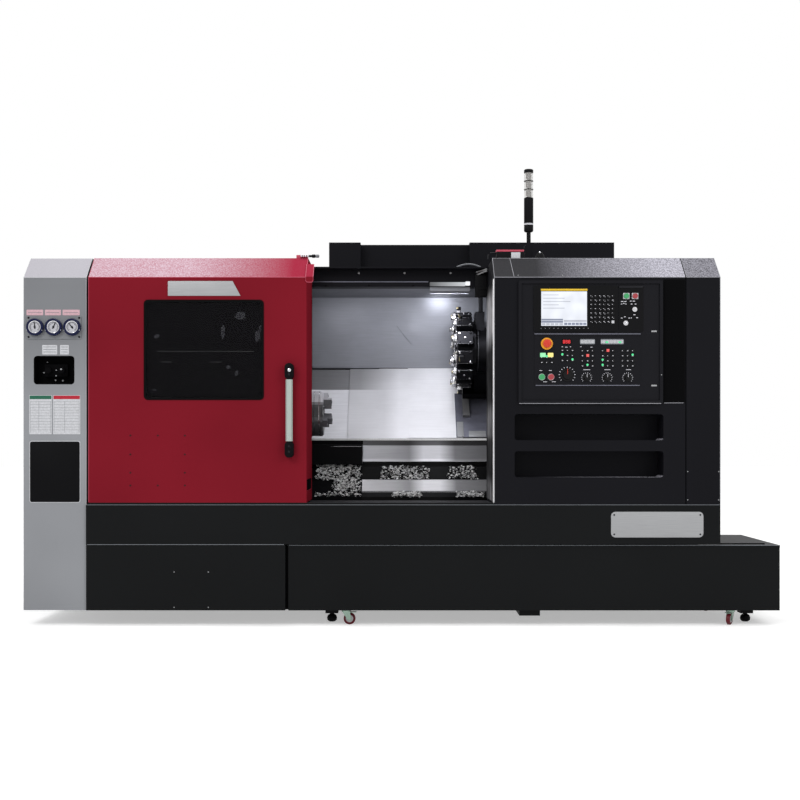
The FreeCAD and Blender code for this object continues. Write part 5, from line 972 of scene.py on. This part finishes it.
def addKeyCap(mesh, x, y, z, size, rise=0.0016):  # dished cap over a key of the panel
    boxIn(mesh, (x + 0.0003, y - rise, z + 0.0003), (x + size - 0.0003, y + 0.0006, z + size - 0.0003), 0.0012)


def addLegend(mesh, x, y, z, left, right, low, high):  # mark on the key whose corner is given
    boxIn(mesh, (x + left, y - 0.0019, z + low), (x + right, y - 0.0014, z + high))


def addUnitKeys():
    caps, legends, white = startPieces("unit_keys keyAbs black_plastic", "unit_legends legendInk black_plastic",
                                       "pale_key labelWhite lamp_plastic")
    y, pitch = unitLow.y, 0.022
    for key in range(12):
        x, z = unitLow.x + 0.03 + key * pitch, unitLow.z + 0.009
        addKeyCap(caps, x, y, z, 0.012)
        addLegend(legends, x, y, z, 0.007, 0.0105, 0.006, 0.0075)
    for column in range(6):
        for row in range(7):
            x, z = unitLow.x + 0.29 + column * pitch, unitLow.z + 0.041 + row * pitch
            if (column, row) == (5, 0):
                addKeyCap(white, x, y, z, 0.015, 0.002)
                continue
            addKeyCap(caps, x, y, z, 0.015)
            wide = random.choice((0.003, 0.004, 0.0055, 0.0075))
            addLegend(legends, x, y, z, 0.0025, 0.0025 + wide, 0.0085, 0.0112)
            if random.random() < 0.6:
                addLegend(legends, x, y, z, 0.009, 0.0125, 0.0035, 0.0055)


def addPanelKeys():
    panel = {"groups": ((0.03, 0.114, 2), (0.136, 0.124, 3), (0.239, 0.096, 4), (0.343, 0.096, 4), (0.445, 0.096, 4)),
             "pitch": 0.026, "key": 0.017, "red": ((2, 1, 2), (3, 1, 3)),
             "green": ((0, 1, 1), (1, 0, 1), (1, 2, 0), (2, 1, 0), (3, 0, 1), (3, 0, 0), (4, 2, 2))}
    caps, red, green = startPieces("panel_keys keyAbs black_plastic", "key_lamps_red ledRed button_red",
                                   "key_lamps_green ledGreen button_green")
    y = panelFace - 0.002
    for number, (left, floor, rows) in enumerate(panel["groups"]):
        for column in range(3):
            for row in range(rows):
                x, z = panelLow.x + left + column * panel["pitch"], panelLow.z + floor + row * panel["pitch"]
                addKeyCap(caps, x, y, z, panel["key"])
                if (number, column, row) in panel["red"]:
                    boxIn(red, (x + 0.0015, y - 0.0022, z + 0.0015), (x + 0.0155, y - 0.0012, z + 0.0155), 0.0004)
                    continue
                if (number, column, row) in panel["green"]:
                    latheIn(green, [(0, 0.0058), (-0.002, 0.0058), (-0.003, 0.003), (-0.0032, 0)],
                            (x + 0.007, y - 0.0008, z + 0.0125), "y", 12)
                wide = 0.004 if (column + row) % 2 else 0.0065
                addLegend(panelLegends, x, y, z, 0.0045, 0.0045 + wide, 0.005, 0.0085)


def addPanelWindows():
    pale, yellow, frames, digits, strips, cells, lit = startPieces(
        "green_window ledPale lamp_plastic", "yellow_window ledYellow lamp_plastic",
        "number_frame plateBlack black_plastic", "red_numbers digitRed button_red",
        "strip_frames ruleGrey black_plastic", "strip_cells labelWhite lamp_plastic",
        "strip_lamps ledGreen button_green")

    def addPane(mesh, left, right, low, high, corner, proud, soften):
        slabIn(mesh, roundedCorners(panelLow.x + left, panelLow.x + right, panelLow.z + low, panelLow.z + high, corner),
               panelFace - proud, panelFace - 0.0005, soften)

    addPane(pale, 0.029, 0.058, 0.148, 0.17, 0.004, 0.0045, 0.0012)
    addPane(yellow, 0.068, 0.097, 0.148, 0.17, 0.004, 0.0045, 0.0012)
    for mesh, left, right, high in ((frames, 0.14, 0.189, 0.24), (strips, 0.234, 0.311, 0.241),
                                    (strips, 0.34, 0.459, 0.241)):
        addPane(mesh, left, right, 0.214, high, 0.005, 0.0024, 0.0006)
    for digit in range(3):
        x, z = 0.1465 + digit * 0.0135, 0.2185
        bars = [(x + 0.0013, x + 0.0077, z + rise, z + rise + 0.0022) for rise in (0.0, 0.0075, 0.015)]
        bars += [(x + shift, x + shift + 0.0022, z + low, z + high)
                 for shift in (0.0, 0.0078) for low, high in ((0.001, 0.0085), (0.0095, 0.016))]
        marksIn(digits, panelLow, panelFace, 0.0032, -0.0022, bars)
    for left, wide, count in ((0.2365, 0.072, 10), (0.3425, 0.114, 16)):
        edges = [left + cell * wide / count for cell in range(count)]
        marksIn(cells, panelLow, panelFace, 0.003, -0.0022,
                [(x + 0.0008, x + wide / count - 0.0008, 0.2185, 0.2365) for x in edges])
    marksIn(lit, panelLow, panelFace, 0.0034, -0.0028, [(x, x + 0.014, 0.221, 0.229) for x in (0.365, 0.432)])
    words = ((0.045, 0.02, 0.02), (0.09, 0.02, 0.02), (0.026, 0.078, 0.014), (0.075, 0.078, 0.014), (0.14, 0.2, 0.007),
             (0.158, 0.198, 0.012), (0.182, 0.2, 0.007), (0.236, 0.2, 0.006), (0.288, 0.198, 0.01),
             (0.252, 0.082, 0.034), (0.36, 0.082, 0.03), (0.47, 0.082, 0.026))
    marksIn(panelLegends, panelLow, panelFace, 0.0006, 0,
            [(left, left + wide, floor, floor + 0.003) for left, floor, wide in words])


def addDialScales():
    dials = {"mode_dial": (0.168, 0.056, 0.034, 13, 0.0065, 24), "spindle_knob": (0.268, 0.042, 0.02, 12, 0.0048, 18),
             "feed_knob": (0.3735, 0.042, 0.02, 12, 0.0048, 18), "rapid_knob": (0.479, 0.042, 0.02, 12, 0.0048, 18)}
    for name, (left, floor, radius, ticks, length, flutes) in dials.items():
        pointing = "stopRed button_red" if name == "mode_dial" else "legendInk black_plastic"
        rim, inlay = startPieces(name + "_flutes keyAbs black_plastic", name + "_pointer " + pointing, body=name)
        x, z = panelLow.x + left, panelLow.z + floor
        for tick in range(ticks):
            turn = turnAt((x, 0, z), math.radians(-130 + 260 * tick / (ticks - 1)), "Y")
            boxIn(panelLegends, (-0.0014, panelFace - 0.0006, radius + 0.0028),
                  (0.0014, panelFace, radius + 0.0028 + length), 0.0, turn)
        for flute in range(flutes):
            turn = turnAt((x, 0, z), flute * math.tau / flutes, "Y")
            boxIn(rim, (-0.0011, panelFace - 0.0168, radius * 0.66), (0.0011, panelFace - 0.006, radius * 0.715),
                  0.0004, turn)
        boxIn(inlay, (x - 0.0012, panelFace - 0.0204, z + radius * 0.12),
              (x + 0.0012, panelFace - 0.0198, z + radius * 0.92), 0.0002)
    startPieces("panel_legends legendInk black_plastic", meshes=[panelLegends])


def addButtons():
    collar, rings, line = startPieces("stop_collar stopYellow black_plastic", "button_rings polishedRim gauge_chrome",
                                      "panel_lines darkStainless black_paint")
    low, high, face = panelLow, panelHigh, panelFace
    latheIn(collar, [(0.0, 0.0304), (-0.0022, 0.0304), (-0.0044, 0.0274), (-0.0044, 0.0105), (-0.002, 0.0102)],
            (low.x + 0.064, face, low.z + 0.217), "y", 48)
    for left in (0.038, 0.085):
        latheIn(rings, [(0, 0.0172), (-0.0035, 0.0168), (-0.0035, 0.0153), (0, 0.0152), (0, 0.0172)],
                (low.x + left, face, low.z + 0.046), "y", 36)
    # The two grey lines are painted highlights along the panel's top and bottom ledges.
    boxIn(line, (low.x, face - 0.0028, high.z - 0.005), (high.x, face - 0.0015, high.z - 0.0005), 0.0005)
    boxIn(line, (low.x + 0.006, face - 0.0015, low.z + 0.001), (high.x - 0.004, face - 0.0003, low.z + 0.005), 0.0004)


def addSwitchPanel():
    words = ((0.012, 0.152, 0.012), (0.028, 0.152, 0.012), (0.058, 0.154, 0.008), (0.072, 0.154, 0.012),
             (0.012, 0.139, 0.006), (0.022, 0.142, 0.008), (0.034, 0.139, 0.006), (0.062, 0.139, 0.009),
             (0.082, 0.139, 0.009), (0.012, 0.067, 0.008), (0.028, 0.073, 0.008), (0.05, 0.067, 0.008),
             (0.062, 0.068, 0.006), (0.076, 0.084, 0.01), (0.09, 0.069, 0.009))
    bar, frames, locks, marks = startPieces(
        "switch_bar blackenedSteel blackened_steel", "switch_frames labelWhite lamp_plastic",
        "key_locks polishedRim gauge_chrome", "switch_marks legendInk black_plastic")
    low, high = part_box("switch_panel")
    face = panelFace
    slabIn(bar, [(low.x + 0.002, high.z - 0.012), (high.x - 0.006, high.z - 0.012), (high.x - 0.001, high.z - 0.001),
                 (low.x + 0.002, high.z - 0.001)], face - 0.0032, face - 0.001, 0.0006)
    for left in (0.039, 0.084):
        x, z = low.x + left, high.z - 0.053
        outer, inner = (roundedCorners(x - across, x + across, z - up, z + up, corner)
                        for across, up, corner in ((0.0165, 0.0155, 0.004), (0.0138, 0.0138, 0.0135)))
        loftIn(frames, [[(px, y, pz) for px, pz in corners] for corners, y in
                        ((outer, face), (outer, face - 0.003), (inner, face - 0.003), (inner, face))])
    for left, floor, turned in ((0.082, 0.113, 0.5), (0.036, 0.043, -0.6)):
        x, z = low.x + left, low.z + floor
        latheIn(locks, [(0, 0.0134), (-0.0054, 0.0124), (-0.0054, 0.0066), (-0.0094, 0.0064), (-0.0094, 0)],
                (x, face, z), "y", 32)
        boxIn(locks, (-0.0016, face - 0.0132, -0.0085), (0.0016, face - 0.0088, 0.0085), 0.0006,
              turnAt((x, 0, z), turned, "Y"))
    marksIn(marks, low, face, 0.0006, 0, [(left, left + wide, floor, floor + 0.004) for left, floor, wide in words])


addEnclosureFolds()
addConsoleLines()
addScreenPicture()
addUnitKeys()
addPanelKeys()
addPanelWindows()
addDialScales()
addButtons()
addSwitchPanel()
closePieces("control side")


def addBaseDetails():
    lines, gap, screws, plate, plateScrews = startPieces(
        "base_lines ruleGrey black_paint", "skirt_gap_strip oxideBlack seal_rubber",
        "skirt_screws plateAluminium bright_steel", "apron_plate plateAluminium handle_aluminium",
        "plate_screws blackenedSteel blackened_steel")
    skirtLow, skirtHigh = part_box("left_skirt")
    tankLow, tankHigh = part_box("coolant_tank")
    brow, rim = skirtHigh.z - 0.001, 0.4165  # top edge of the skirt, rim of the tank
    # The thin grey lines along the apron, skirt and tank edges are painted highlights.
    tubesIn(lines, (0.0015, (-1.62, front, 0.6255), (1.6395, front, 0.6255)),
            (0.0017, (skirtLow.x + 0.006, front, brow), (skirtHigh.x - 0.006, front, brow)),
            (0.002, (tankLow.x + 0.004, tankLow.y, rim), (tankHigh.x - 0.004, tankLow.y, rim)))
    screwsIn(screws, (-1.171, -0.995), front, (0.28, 0.098), 0.003, 0.002)
    # A black strip fills the gap between skirt and tank as painted shade.
    boxIn(gap, (skirtHigh.x + 0.0005, front + 0.03, 0.0835), (tankLow.x - 0.0005, front + 0.045, 0.41), 0.001)
    slabIn(plate, roundedCorners(1.077, 1.552, 0.458, 0.59, 0.022), front - 0.003, front, 0.0012)
    screwsIn(plateScrews, (1.093, 1.536), front - 0.003, (0.474, 0.574), 0.0045, 0.002)


def addCasterHubs():
    for number, swivel in ((1, 180), (2, 58), (3, 0), (4, 0)):
        wheel = f"caster_wheel_{number}"
        hubs, = startPieces(f"caster_hub_{number} plateAluminium bright_steel", body=wheel)
        low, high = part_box(wheel)
        turn = turnAt((low + high) / 2, math.radians(swivel), "Z")
        for side in (-1, 1):
            latheIn(hubs, [(side * 0.0098, 0.005), (side * 0.0104, 0.0055), (side * 0.0104, 0.019),
                           (side * 0.0094, 0.0205)], (0, 0, 0), "y", 28, turn)


def addSignalTower():
    tower = {"radius": 0.025, "pole": 0.0112, "bodyFloor": 0.082, "body": 0.183, "lens": 0.045, "boss": 0.0126}
    rim, body, band, lenses, cores, caps = startPieces(
        "knuckle_rim foldLight tower_plastic", "tower_body blackAbs tower_plastic",
        "tower_band labelWhite lamp_plastic", "tower_lenses lensClear lamp_plastic",
        "tower_cores towerCore tower_plastic", "tower_caps blackAbs tower_plastic", body="signal_tower")
    x, y, pivot = 0.685, front + 0.3, roof + 0.084
    radius, pole, floor, length, lens, boss = tower.values()
    top, ringFace = floor + length, -boss - 0.0012
    latheIn(body, [(-boss, 0.008), (-boss, 0.021), (boss, 0.021), (boss, 0.008), (-boss, 0.008)],
            (x, y, pivot), "y", 36)
    latheIn(body, [(0.019, pole), (floor, pole), (floor, 0.021), (floor + 0.006, radius), (floor + 0.028, radius),
                   (floor + 0.029, radius - 0.0007), (floor + 0.031, radius - 0.0007), (floor + 0.032, radius),
                   (top - 0.002, radius), (top, radius - 0.002), (top, 0.012)], (x, y, pivot), "z", 40)
    latheIn(band, [(0, 0.0251), (0.009, 0.0251)], (x, y, pivot + floor + 0.036), "z", 40)
    for number in range(3):
        base = (x, y, pivot + top + number * lens)
        ribs = [(0.0015, radius - 0.0015)]
        for rib in range(8):
            ribs += [(0.003 + rib * 0.005, radius - 0.002), (0.0055 + rib * 0.005, radius - 0.0006)]
        latheIn(lenses, ribs + [(lens - 0.0015, radius - 0.002)], base, "z", 40)
        joint = [(lens - 0.0015, 0.02), (lens - 0.0015, radius), (lens + 0.0015, radius), (lens + 0.0015, 0.02)]
        lid = [(lens, 0.02), (lens, radius), (lens + 0.014, radius), (lens + 0.0178, 0.021), (lens + 0.0178, 0)]
        latheIn(caps, joint if number < 2 else lid, base, "z", 40)
        latheIn(cores, [(0.002, 0.0), (0.002, 0.014), (0.006, 0.014), (0.008, 0.009), (0.036, 0.009), (0.038, 0.014),
                        (0.043, 0.014), (0.043, 0.0)], base, "z", 20)
        for leaf in range(4):
            boxIn(cores, (0.008, -0.0015, 0.01), (0.0165, 0.0015, 0.036), 0.0005,
                  turnAt(base, math.radians(90 * leaf + 25), "Z"))
    # The pale rim round the knuckle is a painted highlight.
    latheIn(rim, [(-boss - 0.0004, 0.0185), (ringFace, 0.0195), (ringFace, 0.0205), (-boss - 0.0004, 0.021),
                  (-boss - 0.0004, 0.0185)], (x, y, pivot), "y", 36)


def addRearDetails():
    screws, = startPieces("rear_screws boltSteel bright_steel")
    handle, = startPieces("cabinet_handle blackAbs black_plastic", body="cabinet_door")
    low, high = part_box("rear_cover")
    screwsIn(screws, (low.x + 0.03, (low.x + high.x) / 2, high.x - 0.03), high.y, (0.12, 0.52, 1.2, roof - 0.04),
             0.006, 0.003, (0, 1, 0))
    low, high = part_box("cabinet_door")
    boxIn(handle, (low.x + 0.045, high.y - 0.032, 1.02), (low.x + 0.079, high.y - 0.026, 1.2), 0.003)
    boxIn(handle, (low.x + 0.052, high.y - 0.028, 1.06), (low.x + 0.072, high.y - 0.012, 1.18), 0.004)


addBaseDetails()
addCasterHubs()
addSignalTower()
addRearDetails()
closePieces("base, tower and rear")
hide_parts("signal_tower")


def seenShare(tree):  # one for light seen straight, in a mirror or through glass, and else none
    path = addNode(tree, "LightPath", {}).outputs
    seen = path["Is Camera Ray"]
    for ray in ("Is Glossy Ray", "Is Transmission Ray"):
        seen = addNode(tree, "Math", {"operation": "MAXIMUM", 0: seen, 1: path[ray]})
    return seen


def addStage():
    stage = {"half": 40.0, "world": 0.7, "floorGlow": 0.42}
    mesh = bmesh.new()
    half = stage["half"]
    mesh.faces.new([mesh.verts.new((x, y, 0)) for x, y in ((-half, -half), (half, -half), (half, half), (-half, half))])
    data = bpy.data.meshes.new("floor")
    mesh.to_mesh(data)
    mesh.free()
    floor = bpy.data.objects.new("floor", data)
    bpy.context.scene.collection.objects.link(floor)
    surface = finish["paleFloor"]
    data.materials.append(surface)
    tree = surface.node_tree
    glow = addNode(tree, "Emission", {"Color": "#FFFFFF", "Strength": stage["floorGlow"]})
    dark = addNode(tree, "Emission", {"Color": "#000000", "Strength": 0.0})
    chosen = addNode(tree, "MixShader", {0: seenShare(tree), 1: dark, 2: glow})
    both = addNode(tree, "AddShader", {0: tree.nodes["Principled BSDF"], 1: chosen})
    setNode(tree, tree.nodes["Material Output"], {"Surface": both})
    world = bpy.data.worlds.new("studio")
    bpy.context.scene.world = world
    world.use_nodes = True
    sky = world.node_tree
    level = addNode(sky, "MapRange", spread(seenShare(sky), 0.0, 1.0, stage["world"], 1.0))
    setNode(sky, sky.nodes["Background"], {"Color": "#FFFFFF", "Strength": level})


def addLamp(name, place, target, wide, high, power, colour):
    lamp = bpy.data.lights.new(name, "AREA")
    lamp.shape = "RECTANGLE"
    lamp.size, lamp.size_y, lamp.energy = wide, high, power
    lamp.color = fromHex(colour)[:3]
    stand = bpy.data.objects.new(name, lamp)
    stand.location = place
    stand.rotation_euler = (Vector(target) - Vector(place)).to_track_quat("-Z", "Y").to_euler()
    stand.visible_camera = False
    bpy.context.scene.collection.objects.link(stand)


def addCamera():
    view = {"lens": 56.24, "place": (-0.030, -7.336, 0.950), "shift": (0.00516, 0.05225)}
    camera = bpy.data.cameras.new("camera")
    camera.sensor_width, camera.lens, camera.clip_end = 36, view["lens"], 200
    camera.shift_x, camera.shift_y = view["shift"]
    stand = bpy.data.objects.new("camera", camera)
    stand.location = view["place"]
    stand.rotation_euler = (math.pi / 2, 0, 0)
    bpy.context.scene.collection.objects.link(stand)
    bpy.context.scene.camera = stand


addStage()
for lamp in (  # name, place, target, width, height, power, colour
        ("key_light", (-3.5, -6.0, 5.0), (0, 0, 1.0), 3.0, 2.0, 160, "#FFFFFF"),
        ("fill_light", (4.5, -5.5, 4.0), (0.5, 0, 1.0), 3.0, 2.0, 90, "#FFFFFF"),
        ("top_light", (0.0, -0.5, 6.0), (0, -0.2, 1.5), 4.0, 2.0, 120, "#FFFFFF"),
        ("ceiling_light", (0.24, 0.33, 1.84), (0.24, 0.445, 1.76), 0.12, 0.05, 0.52, "#F6F8FF"),
        ("room_light", (-0.08, 0.0, 1.8), (-0.04, 0.2, 1.2), 0.9, 0.3, 2.1, "#F8F8FF"),
        ("bar_light", (0.27, -0.36, 1.772), (0.27, 0.1, 1.3), 0.2, 0.04, 3.6, "#F6F8FF")):
    addLamp(*lamp)
addCamera()
bpy.context.scene.view_settings.view_transform = "Standard"
print("stage, lamps and camera done")
